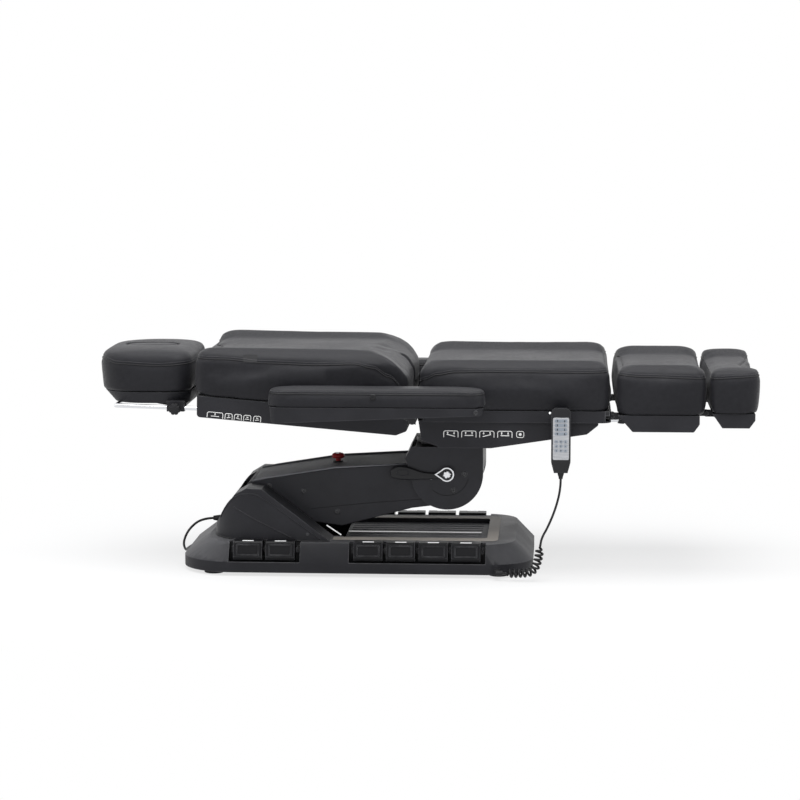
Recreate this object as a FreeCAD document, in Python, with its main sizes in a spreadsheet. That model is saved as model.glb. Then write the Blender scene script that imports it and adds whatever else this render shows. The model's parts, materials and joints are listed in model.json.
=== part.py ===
import FreeCAD, Part
import Sketcher
import math
import os
import re
from FreeCAD import Vector

doc = FreeCAD.newDocument("SpaChair")
sheet = doc.addObject("Spreadsheet::Sheet", "dims")

# Driving dimensions in millimetres and degrees. X runs from head to foot, Z is up.
SIZES = dict(
    play=0.3, wall=4, board=12,
    base_rear=-693, base_front=308, base_half=298, rim_low=10, rim_top=40, deck_z=92, tray_deep=13,
    tray_front=177, tray_half=172, trim_wide=50,
    deck_inset=30, deck_inset_front=50, deck_inset_rear=70, base_round_rear=150, deck_round_rear=110,
    base_round_front=120,
    foot_radius=28, foot_front_x=212, foot_rear_x=-598, foot_y=240, plate_low=16, plate_top=22,
    pedal_pitch=92, pedal_wide=82, pedal_proud=6, pedal_first_rear=-496, pedal_first_front=-155, pedal_low=46,
    pedal_front=299, pedal_back=245, pedal_pin_y=253, pedal_pin_z=70, pedal_pin_r=4,
    rail_in=234, rail_out=240,
    hood_half=245, hood_rear=-606, hood_tip=-266, hood_top=242, hood_round=130, slot_half=141, slot_rear=-552,
    pivot_x=-436, pivot_z=224, arm_len=500, arm_angle=5.8, arm_pin_r=15, eye_r=26, beam_half=22,
    beam_in=85, beam_out=97, bracket_in=100, bracket_out=112, arm_half=135, skin_in=129,
    link_dx=15, link_dz=-62, link_in=55, link_out=70, link_eye=18, link_pin_r=8,
    lift_a_x=-520, lift_a_z=70, lift_b_u=225, lift_b_v=-63, lift_tube_r=21, lift_bore_r=13, lift_rod_r=9,
    lift_pin_r=8,
    stop_x=-263, stop_z=296, stop_r=19, stop_high=17, stop_stem_r=8,
    knuckle_in=138, knuckle_out=150, knuckle_r=103, knuckle_back=120.4, knuckle_ahead=102.6, knuckle_top=352,
    lever_long=163, lever_grip=21, lever_hub=26,
    turn_r=95, turn_low=352.4, turn_top=366, spindle_r=20,
    tilt_x=101, tilt_z=445, tilt_pin_r=10, tilt_in=112, tilt_out=122,
    tilt_y=70, tilt_a_x=40, tilt_a_z=394, tilt_b_x=300, tilt_b_z=412,
    motor_r=17, motor_bore_r=11, motor_rod_r=7, motor_pin_r=6,
    seat_rear=-18, seat_front=527, seat_half=310, seat_low=476, seat_seam=580, seat_crown=614,
    seat_lip=14, seat_step=9, seat_band=33, seat_deep=107, rail_y=126, rail_wide=34, rail_high=25,
    valley_wide=276, valley_flat=196, valley_deep=22, foot_notch_r=318, foot_notch=18,
    leg_pivot_x=529, leg_pivot_z=455, leg_y=-70, leg_lug_x=28, leg_lug_z=-30, leg_sag=5, leg_a_x=150,
    leg_rear=535, leg_front=793, leg_low=466, leg_seam=570, leg_crown=603, leg_shell_low=419,
    foot_pivot_x=795, foot_pivot_z=458, foot_rear=797, foot_front=941, foot_low=471, foot_seam=575,
    foot_crown=599, foot_shell_low=431, hinge_pin_r=6, lug_y=200, lug_wide=12, foot_lug_y=150,
    back_x=-150, back_z=515, back_left=-650, back_right=-36, back_low=513, back_low_x=-637, back_slope=0.085,
    back_top_slope=0.016,
    back_seam=612, back_crown=645, back_deep=61, back_tier=36, pivot_r=8, tube_r=14, back_end_r=120,
    hinge_x=-29, hinge_z=450, hinge_r=12, hinge_gap=3, hinge_wide=8,
    horn_x=-130, horn_z=425, motor_c_x=-480, motor_c_z=466, back_tube_r=14.6, back_bore_r=12.4,
    back_rod_r=4.5,
    head_left=-941, head_right=-666, head_half=200, head_low=508, head_seam=592, head_crown=630,
    head_shell_low=476, rail_r=6, rail_gap=185, rail_left=-884, rail_right=-560, rail_z=462, rail_slope=0.03,
    hole_x=-805, hole_long=77, hole_half=42, plug_sink=32, knob_r=17, knob_x=-712,
    arm_rest_rear=-426, arm_rest_front=178, rest_gap=9, rest_wide=100, arm_rest_top=548,
    arm_rest_joint=497, arm_rest_low_rear=452, arm_rest_low_front=477,
    handset_x=386, handset_half=27, handset_low=309, handset_top=490, handset_gap=11, handset_deep=23,
    hook_half=8, hook_z=470, relief_long=18,
    cord_r=3.2, curl_r=10, curl_count=12, mains_r=3.5, gland_z=116,
    coil_x=-570, coil_y=352, coil_in=27, coil_turns=3,
)
# Places that follow other pieces' sizes.
TIED = dict(
    pedal_top="deck_z + pedal_proud", tray_z="deck_z - tray_deep",
    seat_shell_half="seat_half - seat_lip", seat_tub_half="seat_half - seat_lip - seat_step",
    seat_tier="seat_low - seat_band", seat_tub_low="seat_low - seat_deep",
    rail_top="seat_low - board - 1", rail_low="seat_low - board - 1 - rail_high",
    plate_in="seat_half + hinge_gap", plate_out="seat_half + hinge_gap + hinge_wide",
    arm_rest_in="seat_half + hinge_gap + hinge_wide + rest_gap",
    arm_rest_out="seat_half + hinge_gap + hinge_wide + rest_gap + rest_wide", arm_rest_round="0.46*rest_wide",
    handset_back="-seat_half - handset_gap", handset_face="-seat_half - handset_gap - handset_deep",
    plug_low="head_seam - plug_sink",
    knuckle_rear="pivot_x + arm_len*cos(arm_angle) - knuckle_back",
    knuckle_front="pivot_x + arm_len*cos(arm_angle) + knuckle_ahead",
)
for row, (alias, size) in enumerate(SIZES.items(), 1):
    sheet.set("A%d" % row, alias)
    sheet.set("B%d" % row, str(size))
    sheet.setAlias("B%d" % row, alias)
doc.recompute()
shipped = {}


def ex(text):
    # Spells out an expression in terms of the sheet.
    def spelt(found):
        name = found.group()
        return "(%s)" % ex(TIED[name]) if name in TIED else "dims." + name if name in SIZES else name
    return re.sub(r"[a-z_]\w*", spelt, str(text))


def val(text):
    found = sheet.evalExpression(ex(text))
    return float(getattr(found, "Value", found))


def ship(node, thing):
    thing.Label = node
    shipped[node] = thing
    return thing


def solid(name, shape):
    thing = doc.addObject("Part::Feature", name)
    thing.Shape = shape
    return thing


def box(name, x, y, z):
    thing = doc.addObject("Part::Box", name)
    for prop, axis, (low, high) in (("Length", "x", x), ("Width", "y", y), ("Height", "z", z)):
        thing.setExpression(prop, ex("(%s) - (%s)" % (high, low)))
        thing.setExpression("Placement.Base." + axis, ex(low))
    return thing


def cylinder(name, axis, at, span, radius):
    thing = doc.addObject("Part::Cylinder", name)
    turn = {"x": (Vector(0, 1, 0), 90), "y": (Vector(1, 0, 0), -90), "z": (Vector(0, 0, 1), 0)}[axis]
    thing.Placement = FreeCAD.Placement(Vector(), FreeCAD.Rotation(*turn))
    thing.setExpression("Radius", ex(radius))
    thing.setExpression("Height", ex("(%s) - (%s)" % (span[1], span[0])))
    places = dict(zip([a for a in "xyz" if a != axis], at))
    places[axis] = span[0]
    for letter, place in places.items():
        thing.setExpression("Placement.Base." + letter, ex(place))
    return thing


def prism(name, plane, outline, low, high, rounds=()):
    # An outline pulled along the plane's normal, with chosen corners rounded.
    body = doc.addObject("PartDesign::Body", name)
    sketch = body.newObject("Sketcher::SketchObject", name + "_outline")
    sketch.AttachmentSupport = [([f for f in body.Origin.OriginFeatures if f.Role == plane + "_Plane"][0],
                                 "")]
    sketch.MapMode = "FlatFace"
    points = [Vector(val(a), val(b), 0) for a, b in outline]
    count = len(points)
    for i in range(count):
        sketch.addGeometry(Part.LineSegment(points[i], points[(i + 1) % count]))
    for i in range(count):
        sketch.addConstraint(Sketcher.Constraint("Coincident", i, 2, (i + 1) % count, 1))
    for i in range(count):
        for kind, k in (("DistanceX", 0), ("DistanceY", 1)):
            j = sketch.addConstraint(Sketcher.Constraint(kind, -1, 1, i, 1, points[i][k]))
            sketch.setExpression("Constraints[%d]" % j, ex(outline[i][k]))
    pad = body.newObject("PartDesign::Pad", name + "_pad")
    pad.Profile = sketch
    pad.setExpression("Length", ex("(%s) - (%s)" % (high, low)))
    normal, start = {"XZ": ("y", high), "XY": ("z", low), "YZ": ("x", low)}[plane]
    body.setExpression("Placement.Base." + normal, ex(start))
    doc.recompute()
    pair = {"XZ": (0, 2), "XY": (0, 1), "YZ": (1, 2)}[plane]
    for step, (corners, radius) in enumerate(rounds):
        base = body.Tip
        wanted = [(points[c][0], points[c][1]) for c in corners]
        names = []
        for number, edge in enumerate(base.Shape.Edges, 1):
            ends = [(v.Point[pair[0]], v.Point[pair[1]]) for v in edge.Vertexes]
            if len(ends) == 2 and math.dist(*ends) < 0.01:
                if any(math.dist(ends[0], spot) < 0.01 for spot in wanted):
                    names.append("Edge%d" % number)
        fillet = body.newObject("PartDesign::Fillet", "%s_round%d" % (name, step))
        fillet.Base = (base, names)
        fillet.setExpression("Radius", ex(radius))
        doc.recompute()
    return body


def side_span(sign, low, high):
    # The same span on the side of the chair that sign gives.
    return (low, high) if not sign else ("-(%s)" % high, "-(%s)" % low)


def slab(name, x, half, z, rear, front):
    corners = [(x[0], "-(%s)" % half), (x[1], "-(%s)" % half), (x[1], half), (x[0], half)]
    return prism(name, "XY", corners, z[0], z[1], [((0, 3), rear), ((1, 2), front)])


def fuse(name, *pieces):
    thing = doc.addObject("Part::MultiFuse", name)
    thing.Shapes = list(pieces)
    thing.Refine = False
    return thing


def cut(name, base, *tools):
    thing = doc.addObject("Part::Cut", name)
    thing.Base = base
    thing.Tool = tools[0] if len(tools) == 1 else fuse(name + "_tools", *tools)
    thing.Refine = False
    return thing


def common(name, a, b):
    thing = doc.addObject("Part::Common", name)
    thing.Base, thing.Tool = a, b
    return thing


def mirrored(name, source):
    thing = doc.addObject("Part::Mirroring", name)
    thing.Source = source
    thing.Normal = Vector(0, 1, 0)
    return thing


def both(name, source):
    thing = doc.addObject("Part::Compound", name)
    thing.Links = [source, mirrored(name + "_other", source)]
    return thing


def ring(z, x0, x1, half, rear, front, fall=0):
    # A rectangle with round corners, as lines and arcs at one height, or falling towards +X.
    spots = []
    for cx, cy, r, start in ((x1 - front, half - front, front, 0), (x0 + rear, half - rear, rear, 90),
                             (x0 + rear, rear - half, rear, 180), (x1 - front, front - half, front, 270)):
        turns = [math.radians(start + a) for a in (0, 45, 90)]
        places = [(cx + r * math.cos(t), cy + r * math.sin(t)) for t in turns]
        spots.append([Vector(x, y, z - fall * (x - x0)) for x, y in places])
    edges = []
    for i in range(4):
        edges.append(Part.Arc(*spots[i]).toShape())
        edges.append(Part.LineSegment(spots[i][2], spots[(i + 1) % 4][0]).toShape())
    return Part.Wire(edges)


def cushion(x0, x1, half, low, seam, crown, rear, front, lean_rear=30, lean_front=30, fall=0, top_fall=0):
    # Sides drawn in below the seam, and a crown above it that rounds off to a flat middle.
    deep = seam - low
    rise = crown - seam
    rings = []
    for share, draw in ((0, 10), (0.15, 5), (0.6, 2), (1, 0)):
        rings.append(ring(low + share * deep, x0 + draw, x1 - draw, half - draw, rear, front,
                          fall + share * (top_fall - fall)))
    for share, draw in ((0.45, 0.16), (0.75, 0.42), (0.93, 1.0), (1.0, 2.0)):
        rings.append(ring(seam + share * rise, x0 + draw * lean_rear, x1 - draw * lean_front,
                          half - draw * 36,
                          rear, front, top_fall))
    return Part.makeLoft(rings, True, True)


def valley(name, rear, front, crown):
    # The hollow between a cushion's two side bolsters.
    floor = crown + " - valley_deep"
    return prism(name + "_valley", "YZ", [("-valley_wide", crown + " + 4"), ("-valley_flat", floor),
                                          ("valley_flat", floor),
                                          ("valley_wide", crown + " + 4")], rear + " - 9", front + " + 9")


def bar(start, end, radius):
    run = end.sub(start)
    return Part.makeCylinder(radius, run.Length, start, run)


def actuator(a, b, y, tube, rod, sizes):
    # A tube pinned at a and a rod pinned at b that slides in it, both round an eye across the pin.
    tube_r, bore_r, rod_r, pin_r = sizes
    start, end = Vector(a[0], y, a[1]), Vector(b[0], y, b[1])
    run = end.sub(start)
    along = Vector(run).normalize()
    mouth = start + along * (run.Length * tube)
    body_start = start + along * 20
    bore_end = start + along * 30
    eye_a = Part.makeCylinder(pin_r + 6, 24, start - Vector(0, 12, 0), Vector(0, 1, 0))
    eye_a = eye_a.fuse(bar(start, start + along * 24, 9))
    hole_a = Part.makeCylinder(pin_r + val("play"), 24, start - Vector(0, 12, 0), Vector(0, 1, 0))
    outer = bar(body_start, mouth, tube_r).fuse(eye_a).cut(bar(bore_end, mouth, bore_r)).cut(hole_a)
    eye_b = Part.makeCylinder(pin_r + 6, 20, end - Vector(0, 10, 0), Vector(0, 1, 0))
    hole_b = Part.makeCylinder(pin_r + val("play"), 20, end - Vector(0, 10, 0), Vector(0, 1, 0))
    inner = bar(start + along * (run.Length * rod), end - along * 4, rod_r).fuse(eye_b).cut(hole_b)
    return outer, inner


w = val("wall")


# Base: a moulded cover over a steel plate that carries brackets, pedal rails and feet.
def base_ring(z, inset, rear_inset, front_inset, rear="base_round_rear"):
    return ring(z, val("base_rear") + rear_inset, val("base_front") - front_inset, val("base_half") - inset,
                val(rear) - min(inset, w), val("base_round_front") - inset)


deck = [val("deck_inset"), val("deck_inset_rear"), val("deck_inset_front")]
outer_loft = Part.makeLoft([base_ring(val("rim_low"), 0, 0, 0), base_ring(val("rim_top"), 0, 0, 0),
                            base_ring(val("deck_z"), *deck, "deck_round_rear")], True, True)
inner_loft = Part.makeLoft([base_ring(val("rim_low") - 1, w, w, w), base_ring(val("rim_top"), w, w, w),
                            base_ring(val("deck_z") - w, *[d + w for d in deck], "deck_round_rear")], True,
                           True)
tools = [box("deck_mouth", ("slot_rear", "hood_tip + 30"), ("-slot_half - 8", "slot_half + 8"),
             ("rim_top", "deck_z + 1"))]
pedal_rows = (("pedal_first_rear", 2), ("pedal_first_front", 4))
for side in (-1, 1):
    for row, (first, count) in enumerate(pedal_rows):
        y = ("rail_out + 1", "base_half + 1") if side > 0 else ("-base_half - 1", "-rail_out - 1")
        tools.append(box("bay_%d_%d" % (side, row), (first + " - pedal_wide/2 - 14",
                         "%s + %d*pedal_pitch + pedal_wide/2 + 14" % (first, count - 1)), y,
                         ("rim_top", "deck_z + 1")))
tray = box("tray_block", ("hood_tip + 30", "tray_front + wall"), ("-tray_half - wall", "tray_half + wall"),
           ("tray_z - wall", "deck_z"))
walls = fuse("base_cover_walls", solid("base_cover_shell", outer_loft.cut(inner_loft)), tray)
tools.append(box("tray_hollow", ("hood_tip + 30", "tray_front"), ("-tray_half", "tray_half"),
                 ("tray_z", "deck_z + 1")))
ship("base_cover", cut("base_cover", walls, *tools))

plate = solid("chassis_plate", Part.Face(base_ring(val("plate_low"), w + 0.1, w + 0.1, w + 0.1)).extrude(
    Vector(0, 0, val("plate_top") - val("plate_low"))))
px, pz = "pivot_x", "pivot_z"
kx, kz = "(pivot_x + arm_len*cos(arm_angle))", "(pivot_z + arm_len*sin(arm_angle))"
frame = [plate]
for side in ("", "-"):
    span = ("bracket_in", "bracket_out") if not side else ("-bracket_out", "-bracket_in")
    rail = ("rail_in", "rail_out") if not side else ("-rail_out", "-rail_in")
    lug = ("rail_out", "pedal_pin_y + 6") if not side else ("-pedal_pin_y - 6", "-rail_out")
    tag = "left" if not side else "right"
    frame.append(prism("bracket_" + tag, "XZ", [(px + " - 60", "plate_top"), (px + " + 60", "plate_top"),
                                                (px + " + 20", pz), (px + " - 20", pz)], *span))
    frame.append(cylinder("bracket_eye_" + tag, "y", (px, pz), span, "arm_pin_r + 7"))
    frame.append(cylinder("link_pin_" + tag, "y", (px + " + link_dx", pz + " + link_dz"),
                          ("link_in - 4", "bracket_out") if not side else ("-bracket_out", "4 - link_in"),
                          "link_pin_r"))
    frame.append(box("pedal_rail_" + tag, ("pedal_first_rear - 58", "pedal_first_front + 3.75*pedal_pitch"),
                     rail,
                     ("plate_top", "deck_z - wall")))
    for first, count in pedal_rows:
        for i in range(count + 1):
            x = "%s + (%d - 0.5)*pedal_pitch" % (first, i)
            frame.append(box("pedal_lug_%s_%s_%d" % (tag, first, i), (x + " - 3", x + " + 3"), lug,
                             ("pedal_pin_z - 8", "pedal_pin_z + 8")))
        frame.append(cylinder("pedal_pin_%s_%s" % (tag, first), "x", (side + "pedal_pin_y", "pedal_pin_z"),
                              (first + " - 0.5*pedal_pitch", "%s + (%d - 0.5)*pedal_pitch" % (first, count)),
                              "pedal_pin_r"))
    clevis = ("13", "19") if not side else ("-19", "-13")
    frame.append(box("lift_clevis_" + tag, ("lift_a_x - 12", "lift_a_x + 12"), clevis,
                     ("plate_top", "lift_a_z + 14")))
frame.append(cylinder("arm_shaft", "y", (px, pz), ("-bracket_out", "bracket_out"), "arm_pin_r"))
frame.append(cylinder("lift_pin", "y", ("lift_a_x", "lift_a_z"), ("-19", "19"), "lift_pin_r"))
ship("base_chassis", fuse("base_chassis", *frame))

feet = doc.addObject("Part::Compound", "feet")
feet.Links = [cylinder("foot_%d" % i, "z", (x, y), ("0", "plate_low"), "foot_radius")
              for i, (x, y) in enumerate((x, y) for x in ("foot_front_x", "foot_rear_x")
                                         for y in ("foot_y", "-foot_y"))]
ship("levelling_feet", feet)

for side, tag in (("-", "right"), ("", "left")):
    number = 0
    for first, count in pedal_rows:
        for i in range(count):
            number += 1
            x = "%s + %d*pedal_pitch" % (first, i)
            outline = [("pedal_back", "pedal_low + 14"), ("pedal_back + 14", "pedal_low"),
                       ("pedal_front - 6", "pedal_low"),
                       ("pedal_front", "pedal_low + 10"), ("pedal_front - 8", "pedal_top - 4"),
                       ("pedal_front - 12", "pedal_top"),
                       ("pedal_back", "pedal_top")]
            name = "pedal_%s_%d" % (tag, number)
            block = prism(name + "_block", "YZ", [(side + "(%s)" % a, b) for a, b in outline],
                          x + " - pedal_wide/2", x + " + pedal_wide/2")
            hole = cylinder(name + "_bore", "x", (side + "pedal_pin_y", "pedal_pin_z"),
                            (x + " - pedal_wide", x + " + pedal_wide"), "pedal_pin_r + play")
            ship(name, cut(name, block, hole))

# Rear hood: a rounded shell with a slot in which the arm swings.
hood_points = [("hood_rear", "deck_z"), ("hood_rear + 6", "hood_top - 110"),
               ("hood_rear + 38", "hood_top - 57"),
               ("hood_rear + 66", "hood_top - 20"), ("hood_rear + 101", "hood_top"),
               ("hood_rear + 145", "hood_top - 2"),
               ("hood_tip", "deck_z")]
hood_outer = common("hood_form", prism("hood_side", "XZ", hood_points, "-hood_half", "hood_half"),
                    slab("hood_plan", ("hood_rear", "hood_tip"), "hood_half", ("deck_z", "hood_top + 1"),
                         "hood_round",
                         "wall"))
pod_points = [("hood_rear + 60", "deck_z - 1"), ("hood_rear + 64", "hood_top - 64"),
              ("hood_rear + 103", "hood_top - 6"),
              ("hood_rear + 143", "hood_top - 8"), ("hood_tip - 10", "deck_z - 1")]
hood_cuts = [box("hood_slot", ("slot_rear", "hood_tip + 1"), ("-slot_half", "slot_half"),
                 ("deck_z - 1", "hood_top + 1"))]
for tag, low, high in (("left", "slot_half + wall", "hood_half - 30"),
                       ("right", "30 - hood_half", "-slot_half - wall")):
    hood_cuts.append(prism("hood_pod_" + tag, "XZ", pod_points, low, high))
ship("hood", cut("hood", hood_outer, *hood_cuts))


# Lift arm: places along it are u from the base pivot and v across it.
def on_arm(u, v):
    return ("pivot_x + (%s)*cos(arm_angle) - (%s)*sin(arm_angle)" % (u, v),
            "pivot_z + (%s)*sin(arm_angle) + (%s)*cos(arm_angle)" % (u, v))


beam = []
lift_b = on_arm("lift_b_u", "lift_b_v")
cross = on_arm("lift_b_u", "15")
for tag, low, high in (("left", "beam_in", "beam_out"), ("right", "-beam_out", "-beam_in")):
    bar_points = [on_arm("0", "-beam_half"), on_arm("arm_len", "-beam_half"), on_arm("arm_len", "beam_half"),
                  on_arm("0", "beam_half")]
    beam.append(prism("beam_plate_" + tag, "XZ", bar_points, low, high))
    for end, at in (("low", (px, pz)), ("high", (kx, kz))):
        beam.append(cylinder("beam_eye_%s_%s" % (tag, end), "y", at, (low, high), "eye_r"))
    lug_span = ("13", "23") if tag == "left" else ("-23", "-13")
    beam.append(prism("lift_lug_" + tag, "XZ", [on_arm("lift_b_u - 14", "lift_b_v - 12"),
                                                on_arm("lift_b_u + 14", "lift_b_v - 12"),
                                                on_arm("lift_b_u + 12", "15"), on_arm("lift_b_u - 12", "15")],
                      *lug_span))
    for end, u in (("low", "150"), ("high", "330")):
        spacer = ("beam_out", "skin_in") if tag == "left" else ("-skin_in", "-beam_out")
        beam.append(cylinder("skin_post_%s_%s" % (tag, end), "y", on_arm(u, "0"), spacer, "10"))
beam.append(cylinder("cross_tube", "y", cross, ("-beam_in - 1", "beam_in + 1"), "14"))
beam.append(cylinder("lift_arm_pin", "y", lift_b, ("-23", "23"), "lift_pin_r"))
bores = [cylinder("beam_bore_%d" % i, "y", at, ("-beam_out - 1", "beam_out + 1"), "arm_pin_r + play")
         for i, at in enumerate(((px, pz), (kx, kz)))]
ship("arm_beam", cut("arm_beam", fuse("beam_steel", *beam), *bores))

skin_points = [on_arm(u, v) for u, v in (("-75", "27"), ("-13", "33"), ("179", "44"), ("361", "36"),
                                         ("545", "30"),
                                         ("560", "0"), ("545", "-50"), ("456", "-89"), ("389", "-91"),
                                         ("183", "-124"),
                                         ("100", "-104"), ("-60", "-46"), ("-88", "-10"))]
skin_right = prism("skin_right", "XZ", skin_points, "-arm_half", "-skin_in", [((0, 1, 4, 6, 11, 12), "12")])
ship("arm_side_covers", both("arm_side_covers", skin_right))
top_points = [on_arm(u, v) for u, v in (("-62", "28.3"), ("-13", "33"), ("179", "44"), ("361", "36"),
                                        ("390", "34.7"),
                                        ("390", "30.7"), ("361", "32"), ("179", "40"), ("-13", "29"),
                                        ("-62", "24.3"))]
strip = prism("top_strip", "XZ", top_points, "-skin_in", "skin_in")
stem_hole = cylinder("stop_hole", "z", ("stop_x", "0"), ("stop_z - 40", "stop_z + 40"), "stop_stem_r + play")
ship("arm_top_cover", cut("arm_top_cover", strip, stem_hole))
stop_cap = cylinder("stop_cap", "z", ("stop_x", "0"), ("stop_z", "stop_z + stop_high"), "stop_r")
stop_stem = cylinder("stop_stem", "z", ("stop_x", "0"), ("stop_z - 30", "stop_z + 1"), "stop_stem_r")
ship("stop_button", fuse("stop_button", stop_cap, stop_stem))

l0 = ("pivot_x + link_dx", "pivot_z + link_dz")
l1 = ("%s + link_dx" % kx, "%s + link_dz" % kz)
link = [prism("link_bar", "XZ", [(l0[0], l0[1] + " - 12"), (l1[0], l1[1] + " - 12"), (l1[0], l1[1] + " + 12"),
                                 (l0[0], l0[1] + " + 12")], "-link_out", "-link_in")]
link += [cylinder("link_eye_%d" % i, "y", at, ("-link_out", "-link_in"), "link_eye") for i,
         at in enumerate((l0, l1))]
link_bores = [cylinder("link_bore_%d" % i, "y", at, ("-link_out - 1", "1 - link_in"), "link_pin_r + play")
              for i, at in enumerate((l0, l1))]
ship("parallel_links", both("parallel_links", cut("link_right", fuse("link_steel", *link), *link_bores)))

lift_sizes = [val(s) for s in ("lift_tube_r", "lift_bore_r", "lift_rod_r", "lift_pin_r")]
lift_tube, lift_rod = actuator((val("lift_a_x"), val("lift_a_z")), [val(t) for t in lift_b], 0, 0.62, 0.24,
                               lift_sizes)
ship("lift_motor", solid("lift_motor_body", lift_tube))
ship("lift_rod", solid("lift_rod_bar", lift_rod))

# Knuckle: keeps the seat level at the arm's upper end and carries the turntable.
knuckle = []
cheek_points = [("knuckle_rear + 28", "knuckle_top"), ("knuckle_front - 14", "knuckle_top"),
                ("knuckle_front - 14", kz + " + 20"), (kx + " + 46", kz + " - 66"),
                (kx + " + 20", kz + " - 82"),
                (kx + " - 6", kz + " - 70"), (kx + " - 40", kz + " - 20"),
                ("knuckle_rear + 28", kz + " + 44")]
for tag, low, high in (("left", "bracket_in", "bracket_out"), ("right", "-bracket_out", "-bracket_in")):
    knuckle.append(prism("cheek_" + tag, "XZ", cheek_points, low, high))
    pin = ("link_in - 4", "bracket_out") if tag == "left" else ("-bracket_out", "4 - link_in")
    knuckle.append(cylinder("knuckle_link_pin_" + tag, "y", l1, pin, "link_pin_r"))
knuckle.append(cylinder("knuckle_shaft", "y", (kx, kz), ("-bracket_out", "bracket_out"), "arm_pin_r"))
knuckle.append(box("knuckle_plate", ("knuckle_rear + 28", "knuckle_front - 14"),
                   ("-knuckle_in", "knuckle_in"),
                   ("knuckle_top - 12", "knuckle_top")))
spindle_hole = cylinder("spindle_hole", "z", (kx, "0"), ("knuckle_top - 20", "knuckle_top + 1"),
                        "spindle_r + play")
ship("knuckle_frame", cut("knuckle_frame", fuse("knuckle_steel", *knuckle), spindle_hole))
side_points = [(kx + " - knuckle_r", kz), ("knuckle_rear", kz + " + 44"),
               ("knuckle_rear + 17", "knuckle_top"),
               ("knuckle_front", "knuckle_top"), (kx + " + knuckle_r", kz)]
sides = []
for tag, low, high in (("left", "knuckle_in", "knuckle_out"), ("right", "-knuckle_out", "-knuckle_in")):
    sides.append(prism("knuckle_side_" + tag, "XZ", side_points, low, high))
    sides.append(cylinder("knuckle_round_" + tag, "y", (kx, kz), (low, high), "knuckle_r"))
front_points = [("knuckle_front - 12", "knuckle_top"), ("knuckle_front", "knuckle_top"),
                (kx + " + knuckle_r", kz),
                (kx + " + knuckle_r - 14", kz + " - 52"), (kx + " + knuckle_r - 24", kz + " - 46"),
                (kx + " + knuckle_r - 12", kz)]
sides.append(prism("knuckle_front_wall", "XZ", front_points, "-knuckle_in", "knuckle_in"))
rear_points = [("knuckle_rear", kz + " + 44"), ("knuckle_rear + 17", "knuckle_top"),
               ("knuckle_rear + 25", "knuckle_top - 12"),
               ("knuckle_rear + 10", kz + " + 44")]
sides.append(prism("knuckle_rear_wall", "XZ", rear_points, "-knuckle_in", "knuckle_in"))
lever_hole = cylinder("lever_hole", "y", (kx, kz), ("-knuckle_out - 1", "1 - knuckle_in"), "12 + play")
above = box("above_knuckle", ("knuckle_rear - 50", "knuckle_front + 50"),
            ("-knuckle_out - 1", "knuckle_out + 1"),
            ("knuckle_top", "knuckle_top + knuckle_r"))
ship("knuckle_cover", cut("knuckle_cover", fuse("knuckle_walls", *sides), lever_hole, above))
grip = prism("lever_bar", "XZ", [(kx + " - lever_long", kz + " - lever_grip + 4"),
                                 (kx + " - 60", kz + " - 14"),
                                 (kx, kz + " - 16"), (kx, kz + " + 16"), (kx + " - 60", kz + " + 2"),
                                 (kx + " - lever_long", kz + " + lever_grip - 4")], "-knuckle_out - 13",
             "-knuckle_out - play", [((0, 5), "14")])
hub = cylinder("lever_dial", "y", (kx, kz), ("-knuckle_out - 18", "-knuckle_out - play"), "lever_hub")
stub = cylinder("lever_stub", "y", (kx, kz), ("-knuckle_out - 1", "-knuckle_in - 1"), "12")
ship("swivel_lever", fuse("swivel_lever", grip, hub, stub))

# Turntable: spindle, plate and the two brackets in which the seat tilts.
turn = [cylinder("turn_disc", "z", (kx, "0"), ("turn_low", "turn_top"), "turn_r"),
        cylinder("turn_spindle", "z", (kx, "0"), ("knuckle_top - 16", "turn_low + 1"), "spindle_r"),
        box("turn_plate", ("-15", "tilt_x + 60"), ("-tilt_out", "tilt_out"), ("turn_top - 8", "turn_top"))]
for tag, low, high in (("left", "tilt_in", "tilt_out"), ("right", "-tilt_out", "-tilt_in")):
    turn.append(prism("tilt_bracket_" + tag, "XZ",
                      [("tilt_x - 55", "turn_top - 8"), ("tilt_x + 55", "turn_top - 8"),
                                                    ("tilt_x + 16", "tilt_z + 14"),
                       ("tilt_x - 16", "tilt_z + 14")],
                      low, high))
for tag, low, high in (("in", "tilt_y - 20", "tilt_y - 13"), ("out", "tilt_y + 13", "tilt_y + 20")):
    turn.append(box("tilt_clevis_" + tag, ("tilt_a_x - 12", "tilt_a_x + 12"), (low, high),
                    ("turn_top - 1", "tilt_a_z + 10")))
turn.append(cylinder("tilt_clevis_pin", "y", ("tilt_a_x", "tilt_a_z"), ("tilt_y - 20", "tilt_y + 20"),
                     "motor_pin_r"))
tilt_bore = cylinder("tilt_bore", "y", ("tilt_x", "tilt_z"), ("-tilt_out - 1", "tilt_out + 1"),
                     "tilt_pin_r + play")
ship("turntable", cut("turntable", fuse("turn_steel", *turn), tilt_bore))
small = [val(s) for s in ("motor_r", "motor_bore_r", "motor_rod_r", "motor_pin_r")]
tilt_tube, tilt_rod = actuator((val("tilt_a_x"), val("tilt_a_z")), (val("tilt_b_x"), val("tilt_b_z")),
                               val("tilt_y"),
                               0.68, 0.3, small)
ship("tilt_motor", solid("tilt_motor_body", tilt_tube))
ship("tilt_rod", solid("tilt_rod_bar", tilt_rod))

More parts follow.
